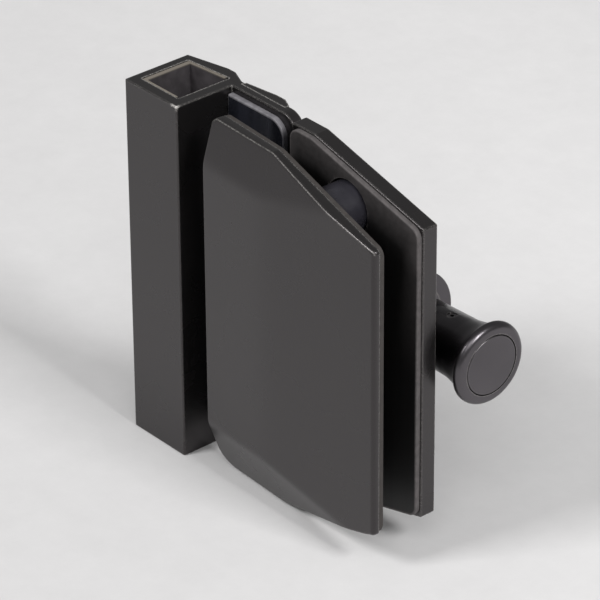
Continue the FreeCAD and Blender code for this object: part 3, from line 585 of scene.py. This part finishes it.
def painted_corner_glint(add, place, base, near, wear_and_glint_colour, corner, radius):
    """The base colour, lightened to a painted glint on the edges within a radius of a corner."""
    away = add("VectorMath", (place, corner), operation="DISTANCE")
    spot = add("MapRange", (away, radius / 2, radius, 1.0, 0.0))
    edge = add("MapRange", (near, 0.0, 0.3))
    # The painted glint's share: near the corner, on the coat's edges
    bare = add("Math", (spot, edge), operation="MULTIPLY")
    glint_colour = opaque(wear_and_glint_colour, 2.1)
    return add("Mix", {"Factor": bare, COLOUR_A: base, COLOUR_B: glint_colour}, data_type="RGBA")


def powder_coat(name, colour, wear_and_glint_colour, roughness, grain, sizes, corner=None):
    """Polyester powder coat, baked: a glossy black skin with the fine pebbled grain of fused powder.

    The grain is about 0.25 mm between bumps in the real coat, and 0.5 mm here so that it still shows.
    Patches about 22 mm apart, where the powder lay thicker or thinner, vary its tone and gloss a little.
    Handling has rubbed the edges pale, and their pale colour also stands in as a painted highlight. Where a
    corner is given, a painted glint lightens the edges near it. Its shine is a trace warmer than the light.
    """
    material, add, place = new_material(name)
    pebbles = add("TexNoise", {"Vector": place, "Scale": every_mm(0.5), "Detail": 3.0, "Roughness": 0.55})
    patches = add("TexNoise", {"Vector": place, "Scale": every_mm(22.2), "Detail": 4.0})
    near = near_edge(add, sizes.reach)
    even = mottled(add, patches, colour, 0.88, 1.12)
    coat = rubbed_and_glinting_edges(add, place, even, near, wear_and_glint_colour, 0.8)
    # A painted glint on the edges near the given corner
    if corner:
        coat = painted_corner_glint(add, place, coat, near, wear_and_glint_colour, corner, sizes.glint_radius)
    gloss = add("MapRange", (patches, *NOISE_SPAN, roughness - 0.03, roughness + 0.04))
    bumps = add("Bump", {"Height": pebbles, "Strength": grain, "Distance": 0.00005})
    finish_surface(add, {"Base Color": coat, "Roughness": gloss, "Normal": bumps, "IOR": 1.6,
                         "Specular Tint": (1.0, 0.93, 0.95, 1.0)})
    return material


def blackened_steel(name, colour, wear_and_glint_colour, roughness, reach, shaded_to):
    """Stainless steel, turned and blackened: dark satin metal with fine marks, and paler edges that are
    rubbed and also painted as a highlight.

    The stem on the wall's side of a given line along the knob is painted darker, as painted shade, while the
    knob's flare, rim and face keep the full colour. The change there is spread over 3 mm. The tool marks are
    about 0.1 mm apart on the real steel, and 0.4 mm here so that they show. Patches about 17 mm apart, from
    the blackening bath, vary its tone and gloss a little.
    """
    material, add, place = new_material(name)
    marks = add("TexNoise", {"Vector": place, "Scale": every_mm(0.4), "Detail": 2.0})
    patches = add("TexNoise", {"Vector": place, "Scale": every_mm(16.7), "Detail": 4.0})
    even = mottled(add, patches, colour, 0.9, 1.1)
    # Painted shade: the stem before the given line is darkened to 0.55 of the colour
    along = add("SeparateXYZ", {"Vector": place}, output="X")
    dull = add("MapRange", (along, shaded_to - 0.002, shaded_to + 0.001, 1.0, 0.0))
    stem = opaque(colour, 0.55)
    base = add("Mix", {"Factor": dull, COLOUR_A: even, COLOUR_B: stem}, data_type="RGBA")
    bared = rubbed_and_glinting_edges(add, place, base, near_edge(add, reach), wear_and_glint_colour, 0.5)
    gloss = add("MapRange", (patches, *NOISE_SPAN, roughness - 0.03, roughness + 0.04))
    bumps = add("Bump", {"Height": marks, "Strength": 0.3, "Distance": 0.00004})
    finish_surface(add, {"Base Color": bared, "Metallic": 1.0, "Roughness": gloss, "Normal": bumps})
    return material


def moulded_rubber(name, colour, rim_colour, roughness, band, dust_and_light, evenness, side_rim=1.0, top=0.05):
    """EPDM rubber, moulded and cut: dull black faces, with a paler, chalky band along the cut rim, which on
    the stop pad is also a painted highlight.

    The band fades out over 0.3 mm. It is mottled with specks about 1.5 mm apart, and an evenness of 1 takes
    them away. Where the rim turns round the corner, 1.2 to 4.2 mm below the top, the band thins to the share
    side_rim, which on the stop pad leaves a painted highlight along the top. Grey lies beside the band and
    thins out over 9 mm; it is partly a dusty film and partly painted light, on the upper part of the pad
    that the lamps reach past the front plate. It is full 40 mm above the latch's middle, and there is none
    below that middle. The face has faint upright streaks about 3 mm apart, from the strip that the pad was
    cut from, and a fine grain about every 0.4 mm.
    """
    material, add, place = new_material(name)
    cloud = add("TexNoise", {"Vector": place, "Scale": every_mm(1.538), "Detail": 3.0})
    fine = add("TexNoise", {"Vector": place, "Scale": every_mm(0.4167), "Detail": 2.0})
    across = every_mm(3.125)
    drawn = add("Mapping", {"Vector": place, "Scale": (across, across, every_mm(71.4))})
    streaks = add("TexNoise", {"Vector": drawn, "Scale": 1.0, "Detail": 3.0})
    height = add("SeparateXYZ", {"Vector": place}, output="Z")
    distance = add("Attribute", output="Fac", attribute_name="from_rim")
    edge = band * 1000
    near = add("MapRange", (distance, edge, edge + 0.3, 1.0, 0.0))
    # The band thins on the sides below the top; on the stop pad this leaves a painted highlight along the
    # top edge
    corner = add("MapRange", (height, top - 0.0042, top - 0.0012, side_rim))
    rim = add("Math", (near, corner), operation="MULTIPLY")
    # Painted light as well as a dusty film: grey beside the rim, full only on the pad's upper part, where
    # the lamps reach past the front plate
    beside = add("MapRange", (distance, 0.0, 9.0, dust_and_light, 0.0))
    upper = add("MapRange", (height, 0.0, 0.04))
    dusty_and_lit = add("Math", (beside, upper), operation="MULTIPLY")
    most = add("Math", (rim, dusty_and_lit), operation="MAXIMUM")
    broken = add("MapRange", (cloud, 0.38, 0.62, evenness))
    worn = add("Math", (most, broken), operation="MULTIPLY")
    tone = add("MapRange", (streaks, 0.35, 0.65))
    face = add("Mix", {"Factor": tone, COLOUR_A: opaque(colour, 0.6), COLOUR_B: opaque(colour, 1.5)},
               data_type="RGBA")
    dusty = add("Mix", {"Factor": worn, COLOUR_A: face, COLOUR_B: opaque(rim_colour)}, data_type="RGBA")
    gloss = add("MapRange", (worn, 0.0, 1.0, roughness, roughness + 0.2))
    bumps = add("Bump", {"Height": fine, "Strength": 0.25, "Distance": 0.00004})
    finish_surface(add, {"Base Color": dusty, "Roughness": gloss, "Normal": bumps, "IOR": 1.42})
    return material


def mill_steel(name, colour, cut_colour, top, roughness):
    """Steel sheet, rolled and folded: dull grey mill skin, and bare metal where the sheet was cut.

    The cut edge is all that lies above a height just under the top of the channel. The skin is mottled
    and slightly uneven about every 3 mm.
    """
    material, add, place = new_material(name)
    cloud = add("TexNoise", {"Vector": place, "Scale": every_mm(3.333), "Detail": 5.0})
    height = add("SeparateXYZ", {"Vector": place}, output="Z")
    cut = add("MapRange", (height, top - 0.0004, top - 0.0001))
    skin = mottled(add, cloud, colour, 0.75, 1.2)
    base = add("Mix", {"Factor": cut, COLOUR_A: skin, COLOUR_B: opaque(cut_colour)}, data_type="RGBA")
    bumps = add("Bump", {"Height": cloud, "Strength": 0.3, "Distance": 0.0001})
    finish_surface(add, {"Base Color": base, "Metallic": 1.0, "Roughness": roughness, "Normal": bumps})
    return material


def turned_steel(name, colour, roughness):
    """Stainless steel, turned or rolled: bright metal with fine tool marks.

    The marks are about 0.15 mm apart on the real steel, and 0.33 mm here so that they show. Its tone and
    gloss change a little about every 6 mm.
    """
    material, add, place = new_material(name)
    marks = add("TexNoise", {"Vector": place, "Scale": every_mm(0.3333), "Detail": 2.0})
    cloud = add("TexNoise", {"Vector": place, "Scale": every_mm(5.556), "Detail": 4.0})
    base = mottled(add, cloud, colour, 0.85, 1.05)
    gloss = add("MapRange", (cloud, *NOISE_SPAN, roughness - 0.05, roughness + 0.08))
    bumps = add("Bump", {"Height": marks, "Strength": 0.15, "Distance": 0.00003})
    finish_surface(add, {"Base Color": base, "Metallic": 1.0, "Roughness": gloss, "Normal": bumps})
    return material


def moulded_plastic(name, colour, roughness):
    """Acetal, moulded: an even, slightly waxy black with a faint flow texture about 3 mm apart."""
    material, add, place = new_material(name)
    flow = add("TexNoise", {"Vector": place, "Scale": every_mm(3.125), "Detail": 3.0})
    base = mottled(add, flow, colour, 0.85, 1.15)
    gloss = add("MapRange", (flow, *NOISE_SPAN, roughness - 0.04, roughness + 0.04))
    bumps = add("Bump", {"Height": flow, "Strength": 0.1, "Distance": 0.00003})
    finish_surface(add, {"Base Color": base, "Roughness": gloss, "Normal": bumps, "IOR": 1.48})
    return material


def floor_paper(name, colour):
    """Background paper, matt and pale, with the slight cloudiness of a large painted sheet.

    The clouds are about 11 mm apart. A painted light gradient takes the sheet from a little greyer near the
    wall to a little lighter behind the knob, over 0.3 m.
    """
    material, add, place = new_material(name)
    # Painted light: the paper is painted lighter towards the back right, in place of the lamps' own falloff
    towards_lit = (0.346, 1.02, 0.0)
    cloud = add("TexNoise", {"Vector": place, "Scale": every_mm(11.1), "Detail": 6.0, "Roughness": 0.7})
    across = add("VectorMath", (place, towards_lit), operation="DOT_PRODUCT")
    lit_share = add("MapRange", (across, -0.14, 0.16))
    sheet = add("Mix", {"Factor": lit_share, COLOUR_A: opaque(colour, 0.95), COLOUR_B: opaque(colour, 1.13)},
                data_type="RGBA")
    cloudy = mottled(add, cloud, (1.0, 1.0, 1.0), 0.95, 1.0)
    base = add("Mix", {"Factor": 1.0, COLOUR_A: sheet, COLOUR_B: cloudy}, data_type="RGBA",
               blend_type="MULTIPLY")
    finish_surface(add, {"Base Color": base, "Roughness": 0.9, "Specular IOR Level": 0.2})
    return material


def finish_nodes(names, material):
    """Gives CAD pieces a material in place of their own."""
    for name in names:
        slots = bpy.data.objects[name].data.materials
        slots.clear()
        slots.append(material)


def finish_piece(made, material, body, slot, *nodes):
    """Gives a new piece its material, its body and the CAD nodes that it stands for."""
    made.data.materials.append(material)
    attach(made, body)
    if nodes:
        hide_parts(*nodes)


# One operator for each piece or group of like pieces

class LATCH_OT_studio(bpy.types.Operator):
    """Makes the pale floor, the soft lamps and the camera"""
    bl_idname = "latch.studio"
    bl_label = "Studio"

    def execute(self, context):
        settings = context.scene.latch_studio
        self.make_floor(settings, context.scene.latch_colours)
        self.make_camera(context.scene, settings)
        self.make_lamp("front", settings.front_lamp, settings.front_size, settings.front_place)
        self.make_lamp("right", settings.right_lamp, settings.right_size, settings.right_place)
        self.make_lamp("fill", settings.fill_lamp, settings.fill_size, settings.fill_place)
        world = bpy.data.worlds.new("room")
        world.use_nodes = True
        background = world.node_tree.nodes["Background"]
        background.inputs["Color"].default_value = (1.0, 1.0, 1.0, 1.0)
        background.inputs["Strength"].default_value = settings.room
        context.scene.world = world
        context.scene.view_settings.view_transform = "Standard"
        return {"FINISHED"}

    def make_floor(self, settings, colours):
        """A flat sheet under the post, a grid of points at one height."""
        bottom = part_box("receiver_body")[0].z
        points_along = 41
        along = np.linspace(-0.5, 0.5, points_along) * settings.floor_side
        x, y = np.meshgrid(along, along, indexing="ij")
        points = np.stack([x, y, np.full_like(x, bottom)], -1).reshape(-1, 3)
        index = np.arange(points.shape[0]).reshape(x.shape)
        quads = np.stack([index[:-1, :-1], index[1:, :-1], index[1:, 1:], index[:-1, 1:]], -1)
        floor = mesh_object("floor", points, quads.reshape(-1, 4))
        floor.data.materials.append(floor_paper("pale_paper", colours.floor_paper))

    def make_camera(self, scene, settings):
        """The camera stands back from the aim point along the view direction, and is rolled about it."""
        turn, rise, roll = settings.azimuth, settings.elevation, settings.roll
        back = Vector((math.sin(turn) * math.cos(rise), -math.cos(turn) * math.cos(rise), math.sin(rise)))
        right = Vector((math.cos(turn), math.sin(turn), 0.0))
        up = back.cross(right)
        rolled_right = right * math.cos(roll) + up * math.sin(roll)
        rolled_up = up * math.cos(roll) - right * math.sin(roll)
        aim = Vector((settings.aim_x, settings.aim_y, settings.aim_z))
        data = bpy.data.cameras.new("camera")
        data.sensor_width = 36.0
        data.lens = settings.lens
        camera = bpy.data.objects.new("camera", data)
        axes = Matrix((rolled_right, rolled_up, back)).transposed().to_4x4()
        camera.matrix_world = Matrix.Translation(aim + back * settings.distance) @ axes
        scene.collection.objects.link(camera)
        scene.camera = camera

    def make_lamp(self, name, power, size, place):
        """A square soft lamp that faces the latch."""
        data = bpy.data.lights.new(name, "AREA")
        data.energy = power
        data.size = size
        lamp = bpy.data.objects.new(name, data)
        lamp.location = place
        lamp.rotation_euler = Vector(place).to_track_quat("Z", "Y").to_euler()
        bpy.context.scene.collection.objects.link(lamp)


class LATCH_OT_front_plate(bpy.types.Operator):
    """Makes the cast clamp plate with its faceted face"""
    bl_idname = "latch.front_plate"
    bl_label = "Front plate"

    def execute(self, context):
        sizes = context.scene.latch_plate
        colours = context.scene.latch_colours
        corners = clamp_outline(sizes, 0.0, sizes.right_corner)
        outline, normals = rounded_outline(corners, run_steps=72, arc_steps=9)
        towards_end = 1 - (sizes.right_reach - outline[:, 0]) / sizes.end_blend
        rim_round = sizes.rim_round + (sizes.end_round - sizes.rim_round) * np.clip(towards_end, 0, 1)
        face_rows = 110
        plan, height, from_rim = slab_rows(outline, normals, (-sizes.middle_shift, 0.0), face_rows,
                                           rim_round, sizes.rear_round,
                                           lambda at: clamp_thickness(sizes, at))
        plate = closed_surface("front_clamp_plate", tipped_place(sizes, plan, height))
        # A pale line along the upper rim: wear and a painted highlight
        keep_values(plate, "rim_wear", self.rim_wear(sizes, from_rim, normals))
        cut_boss_holes(plate, sizes, sizes.screw_hole, CUT_MARGIN, sizes.screw_depth + CUT_MARGIN)
        coat = powder_coat("cast_powder_coat", colours.powder_coat, colours.edge_wear_and_glint, roughness=0.27,
                           grain=0.5, sizes=context.scene.latch_coat)
        finish_piece(plate, coat, "cover", "black_powder_coat", "front_plate")
        return {"FINISHED"}

    def rim_wear(self, sizes, from_rim, normals):
        """How pale the rim is painted, as wear and as a painted highlight: most at half its radius from the
        outline, and only where it looks up.

        The paleness falls off evenly to both sides of that line. It is full from a third of the way up.
        """
        middle = sizes.rim_round * 1000 / 2
        half_width = 0.7 * middle
        across = np.clip(1 - np.abs(from_rim - middle) / half_width, 0, 1)
        looks_up = np.clip(3 * normals[:, 1], 0, 1)
        return sizes.rim_wear * across * looks_up


class LATCH_OT_pads(bpy.types.Operator):
    """Makes the rubber pads of the two clamp plates and of the stop plate"""
    bl_idname = "latch.pads"
    bl_label = "Rubber pads"

    def execute(self, context):
        colours = context.scene.latch_colours
        sizes = context.scene.latch_pads
        band = sizes.rim_band
        front = moulded_rubber("front_pad_rubber", colours.pad_rubber, colours.front_rim, roughness=0.5,
                               band=band, dust_and_light=0.0, evenness=0.8)
        # The rear pad's grey beside the rim is a dusty film and painted light
        rear = moulded_rubber("rear_pad_rubber", colours.pad_rubber, colours.rear_rim, roughness=0.5,
                              band=band, dust_and_light=0.6, evenness=0.75)
        # The stop pad's band: chalky rim and painted highlight, full along the top and a quarter as strong
        # on the sides
        glossy = moulded_rubber("stop_pad_rubber", colours.stop_rubber, colours.stop_rim_and_highlight, roughness=0.25,
                                band=band, dust_and_light=0.0, evenness=0.7, side_rim=0.25,
                                top=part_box("stop_gasket")[1].z)
        self.make_front_pad(context.scene.latch_plate, sizes, front)
        self.make_rear_pad(sizes, rear)
        self.make_stop_pad(sizes, glossy)
        return {"FINISHED"}

    def flat_pad(self, name, corners, face_rows, sizes, low, high):
        """A level pad in the box between two points, whose face looks to the front."""
        thickness = high.y - low.y
        outline, normals = rounded_outline(corners, run_steps=40, arc_steps=10)
        centre = outline.mean(0)
        plan, height, from_rim = slab_rows(outline, normals, centre, face_rows, sizes.rim_round,
                                           sizes.rear_round, lambda at: np.full(at.shape[:-1], thickness))
        rows = np.stack([plan[..., 0], high.y - height, plan[..., 1]], -1)
        pad = closed_surface(name, rows)
        keep_values(pad, "from_rim", from_rim)
        return pad

    def make_front_pad(self, plate, sizes, material):
        """The pad behind the clamp plate, whose face looks to the glass."""
        thickness = plate.pad_thickness
        corners = clamp_outline(plate, sizes.clamp_inset, sizes.clamp_corner)
        outline, normals = rounded_outline(corners, run_steps=40, arc_steps=9)
        face_rows = 24
        plan, height, from_rim = slab_rows(outline, normals, (-plate.middle_shift, 0.0), face_rows,
                                           sizes.rim_round, sizes.rear_round,
                                           lambda at: np.full(at.shape[:-1], thickness))
        pad = closed_surface("front_clamp_pad", tipped_place(plate, plan, -height))
        keep_values(pad, "from_rim", from_rim)
        cut_boss_holes(pad, plate, sizes.spacer_hole, thickness + CUT_MARGIN, thickness + 2 * CUT_MARGIN)
        finish_piece(pad, material, "cover", "gasket_rubber", "front_gasket")

    def make_rear_pad(self, sizes, material):
        """The pad on the rear clamp plate, with a hole for each boss."""
        low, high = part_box("back_gasket")
        half = (high.z - low.z) / 2
        kink = low.x - sizes.rear_inset + sizes.rear_flat
        end_half = half - sizes.rear_drop
        corners = [
            (low.x, -half, sizes.rear_corner),
            (kink, -half, sizes.rear_kink),
            (high.x, -end_half, sizes.rear_corner),
            (high.x, end_half, sizes.rear_corner),
            (kink, half, sizes.rear_kink),
            (low.x, half, sizes.rear_corner),
        ]
        face_rows = 90
        pad = self.flat_pad("rear_clamp_pad", corners, face_rows, sizes, low, high)
        holes = []
        for sleeve in ("upper_sleeve", "lower_sleeve"):
            first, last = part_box(sleeve)
            start = ((first.x + last.x) / 2, low.y - CUT_MARGIN, (first.z + last.z) / 2)
            holes.append((start, sizes.sleeve_hole, high.y - low.y + 2 * CUT_MARGIN))
        cut_round_holes(pad, holes, (0.0, 1.0, 0.0))
        finish_piece(pad, material, "latch", "gasket_rubber", "back_gasket")

    def make_stop_pad(self, sizes, material):
        """The pad that the glass closes against."""
        low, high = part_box("stop_gasket")
        corners = [
            (low.x, low.z, sizes.stop_inner_corner),
            (high.x, low.z, sizes.stop_corner),
            (high.x, high.z, sizes.stop_corner),
            (low.x, high.z, sizes.stop_inner_corner),
        ]
        face_rows = 24
        pad = self.flat_pad("stop_pad", corners, face_rows, sizes, low, high)
        finish_piece(pad, material, "latch", "stop_rubber", "stop_gasket")


class LATCH_OT_knob(bpy.types.Operator):
    """Makes the pull knob and the disc in its face"""
    bl_idname = "latch.knob"
    bl_label = "Pull knob"

    def execute(self, context):
        sizes = context.scene.latch_knob
        colours = context.scene.latch_colours
        # The painted shade on the stem reaches three quarters of the way along the flare
        shaded_to = sizes.start_x + sizes.stem_length + 0.75 * sizes.flare_length
        coat = blackened_steel("knob_black_steel", colours.black_steel, colours.edge_wear_and_glint, roughness=0.3,
                               reach=context.scene.latch_coat.steel_reach, shaded_to=shaded_to)
        axis = (sizes.start_x, sizes.axis_y, 0.0)
        knob = revolved("pull_knob", axis, self.profile(sizes), sizes.turns)
        top = (sizes.start_x + sizes.grub_from_start, sizes.axis_y, 0.0)
        cut_round_holes(knob, [(top, sizes.grub_hole, sizes.rim_radius)], (0.0, 0.0, 1.0), segments=40)
        finish_piece(knob, coat, "bolt", "dark_satin_metal", "knob")
        cap = revolved("knob_disc", axis, self.cap_profile(sizes), sizes.turns)
        cap.data.set_sharp_from_angle(angle=ROUND_EDGE)
        finish_piece(cap, coat, "bolt", "dark_satin_metal", "knob_cap")
        return {"FINISHED"}

    def profile(self, sizes):
        """The knob's half section from the rod's bore round the outside to the disc's seat.

        The stem is a straight taper. The flare swings out from it through a quarter of an ellipse, drawn
        towards a straight line by a share. The rim's two edges are quarter circles.
        """
        stem_end = sizes.stem_length
        rim_start = stem_end + sizes.flare_length
        face = rim_start + sizes.rim_width
        edge = sizes.edge_round
        swing = np.linspace(0, np.pi / 2, 14)
        flare_x = stem_end + sizes.flare_length * np.sin(swing)
        rise = sizes.rim_radius - sizes.rear_round - sizes.end_radius
        hollow = 1 - np.cos(swing)
        flare_r = sizes.end_radius + rise * (hollow + sizes.straight * (np.sin(swing) - hollow))
        rear_in, rear_out = quarter_round(sizes.rear_round, steps=6)
        front_in, front_out = quarter_round(sizes.front_round, steps=10)
        seat = sizes.cap_radius + sizes.cap_groove
        parts = [
            [(sizes.rod_depth, 0.0), (sizes.rod_depth, sizes.rod_radius), (0.0, sizes.rod_radius)],
            [(0.0, sizes.start_radius - edge), (edge, sizes.start_radius)],
            np.stack([flare_x, flare_r], -1),
            np.stack([rim_start + rear_out, sizes.rim_radius - rear_in], -1)[1:],
            np.stack([face - front_in, sizes.rim_radius - front_out], -1),
            [(face, seat), (face - sizes.cap_depth, seat), (face - sizes.cap_depth, 0.0)],
        ]
        return np.concatenate([np.array(part) for part in parts])

    def cap_profile(self, sizes):
        """The disc's half section, with a rounded front edge."""
        face = sizes.stem_length + sizes.flare_length + sizes.rim_width + sizes.cap_proud
        seat = face - sizes.cap_proud - sizes.cap_depth
        draw, fall = quarter_round(sizes.edge_round, steps=7)
        edge = np.stack([face - fall, sizes.cap_radius - draw], -1)
        parts = [[(seat, 0.0), (seat, sizes.cap_radius)], edge[::-1], [(face, 0.0)]]
        return np.concatenate([np.array(part) for part in parts])


class LATCH_OT_return_spring(bpy.types.Operator):
    """Makes the return spring at the length of its CAD piece; the real spring shortens as the knob is pulled
    """
    bl_idname = "latch.return_spring"
    bl_label = "Return spring"

    def execute(self, context):
        sizes = context.scene.latch_spring
        low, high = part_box("return_spring")
        start = (low.x, (low.y + high.y) / 2, 0.0)
        length = high.x - low.x
        spring = coiled_wire("coiled_return_spring", start, length, sizes)
        spring.data.set_sharp_from_angle(angle=ROUND_EDGE)
        steel = turned_steel("spring_steel", context.scene.latch_colours.bare_steel, roughness=0.25)
        finish_piece(spring, steel, "bolt", "stainless_steel", "return_spring")
        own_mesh(spring)
        return {"FINISHED"}


class LATCH_OT_coated_metal(bpy.types.Operator):
    """Coats the post, the rear plate and the striker, and blackens the barrel"""
    bl_idname = "latch.coated_metal"
    bl_label = "Coated metal"

    def execute(self, context):
        colours = context.scene.latch_colours
        sizes = context.scene.latch_coat
        low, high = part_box("receiver_body")
        # The middle of the painted glint, on the post's front top edge just short of its corner
        corner = (sizes.post_width - sizes.glint_shift, low.y, high.z)
        coat = powder_coat("post_powder_coat", colours.powder_coat, colours.edge_wear_and_glint, roughness=0.27,
                           grain=0.5, sizes=sizes, corner=corner)
        finish_nodes(["receiver_body", "back_plate", "striker_block"], coat)
        # The barrel gets no painted shade: the line of the shade stands at the wall
        barrel = blackened_steel("barrel_black_steel", colours.black_steel, colours.edge_wear_and_glint,
                                 roughness=0.32, reach=sizes.steel_reach, shaded_to=0.0)
        finish_nodes(["bolt_housing", "end_cap", "knob_grub_screw"], barrel)
        return {"FINISHED"}


class LATCH_OT_fittings(bpy.types.Operator):
    """Finishes the sleeves, the channel, the bolt and the small fittings"""
    bl_idname = "latch.fittings"
    bl_label = "Fittings"

    def execute(self, context):
        colours = context.scene.latch_colours
        steel = turned_steel("stainless_steel", colours.bare_steel, roughness=0.3)
        sheet = mill_steel("mill_steel", colours.mill_steel, colours.cut_steel,
                           top=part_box("backing_channel")[1].z, roughness=0.6)
        finish_nodes(["backing_channel"], sheet)
        finish_nodes(["upper_spacer", "lower_spacer", "clamp_screws", "latch_bolt",
                      "bolt_rod", "spring_washer", "guide_screw"], steel)
        plastic = moulded_plastic("sleeve_acetal", colours.sleeve_plastic, roughness=0.3)
        finish_nodes(["upper_sleeve", "lower_sleeve", "access_plugs", "rod_bush"], plastic)
        rubber = moulded_rubber("buffer_rubber", colours.pad_rubber, colours.pad_rubber, roughness=0.55,
                                band=0.0, dust_and_light=0.0, evenness=1.0)
        finish_nodes(["buffer_ring"], rubber)
        # Black oxide looks like a finer and duller coat without pale edges
        screws = powder_coat("black_oxide", colours.powder_coat, colours.powder_coat, roughness=0.4,
                             grain=0.2, sizes=context.scene.latch_coat)
        finish_nodes(["striker_screws", "housing_screws"], screws)
        return {"FINISHED"}


class LATCH_PT_panel(bpy.types.Panel):
    """Lists the latch's pieces in the order in which they are made"""
    bl_idname = "LATCH_PT_panel"
    bl_label = "Gate latch"
    bl_space_type = "VIEW_3D"
    bl_region_type = "UI"
    bl_category = "Gate latch"

    def draw(self, context):
        for operator in OPERATORS:
            self.layout.operator(operator.bl_idname)


SETTINGS = {
    "latch_colours": LatchColours,
    "latch_coat": CoatSizes,
    "latch_plate": ClampPlateSizes,
    "latch_pads": PadSizes,
    "latch_knob": KnobSizes,
    "latch_spring": SpringSizes,
    "latch_studio": StudioSettings,
}
OPERATORS = (LATCH_OT_studio, LATCH_OT_coated_metal, LATCH_OT_front_plate, LATCH_OT_pads,
             LATCH_OT_knob, LATCH_OT_return_spring, LATCH_OT_fittings)


def register():
    for name, group in SETTINGS.items():
        bpy.utils.register_class(group)
        setattr(bpy.types.Scene, name, PointerProperty(type=group))
    for operator in OPERATORS:
        bpy.utils.register_class(operator)
    bpy.utils.register_class(LATCH_PT_panel)


def unregister():
    bpy.utils.unregister_class(LATCH_PT_panel)
    for operator in reversed(OPERATORS):
        bpy.utils.unregister_class(operator)
    for name, group in reversed(SETTINGS.items()):
        delattr(bpy.types.Scene, name)
        bpy.utils.unregister_class(group)


def build_latch():
    """Makes every piece."""
    register()
    bpy.ops.latch.studio()
    bpy.ops.latch.coated_metal()
    bpy.ops.latch.front_plate()
    bpy.ops.latch.pads()
    bpy.ops.latch.knob()
    bpy.ops.latch.return_spring()
    bpy.ops.latch.fittings()


if __name__ == "__main__":
    build_latch()
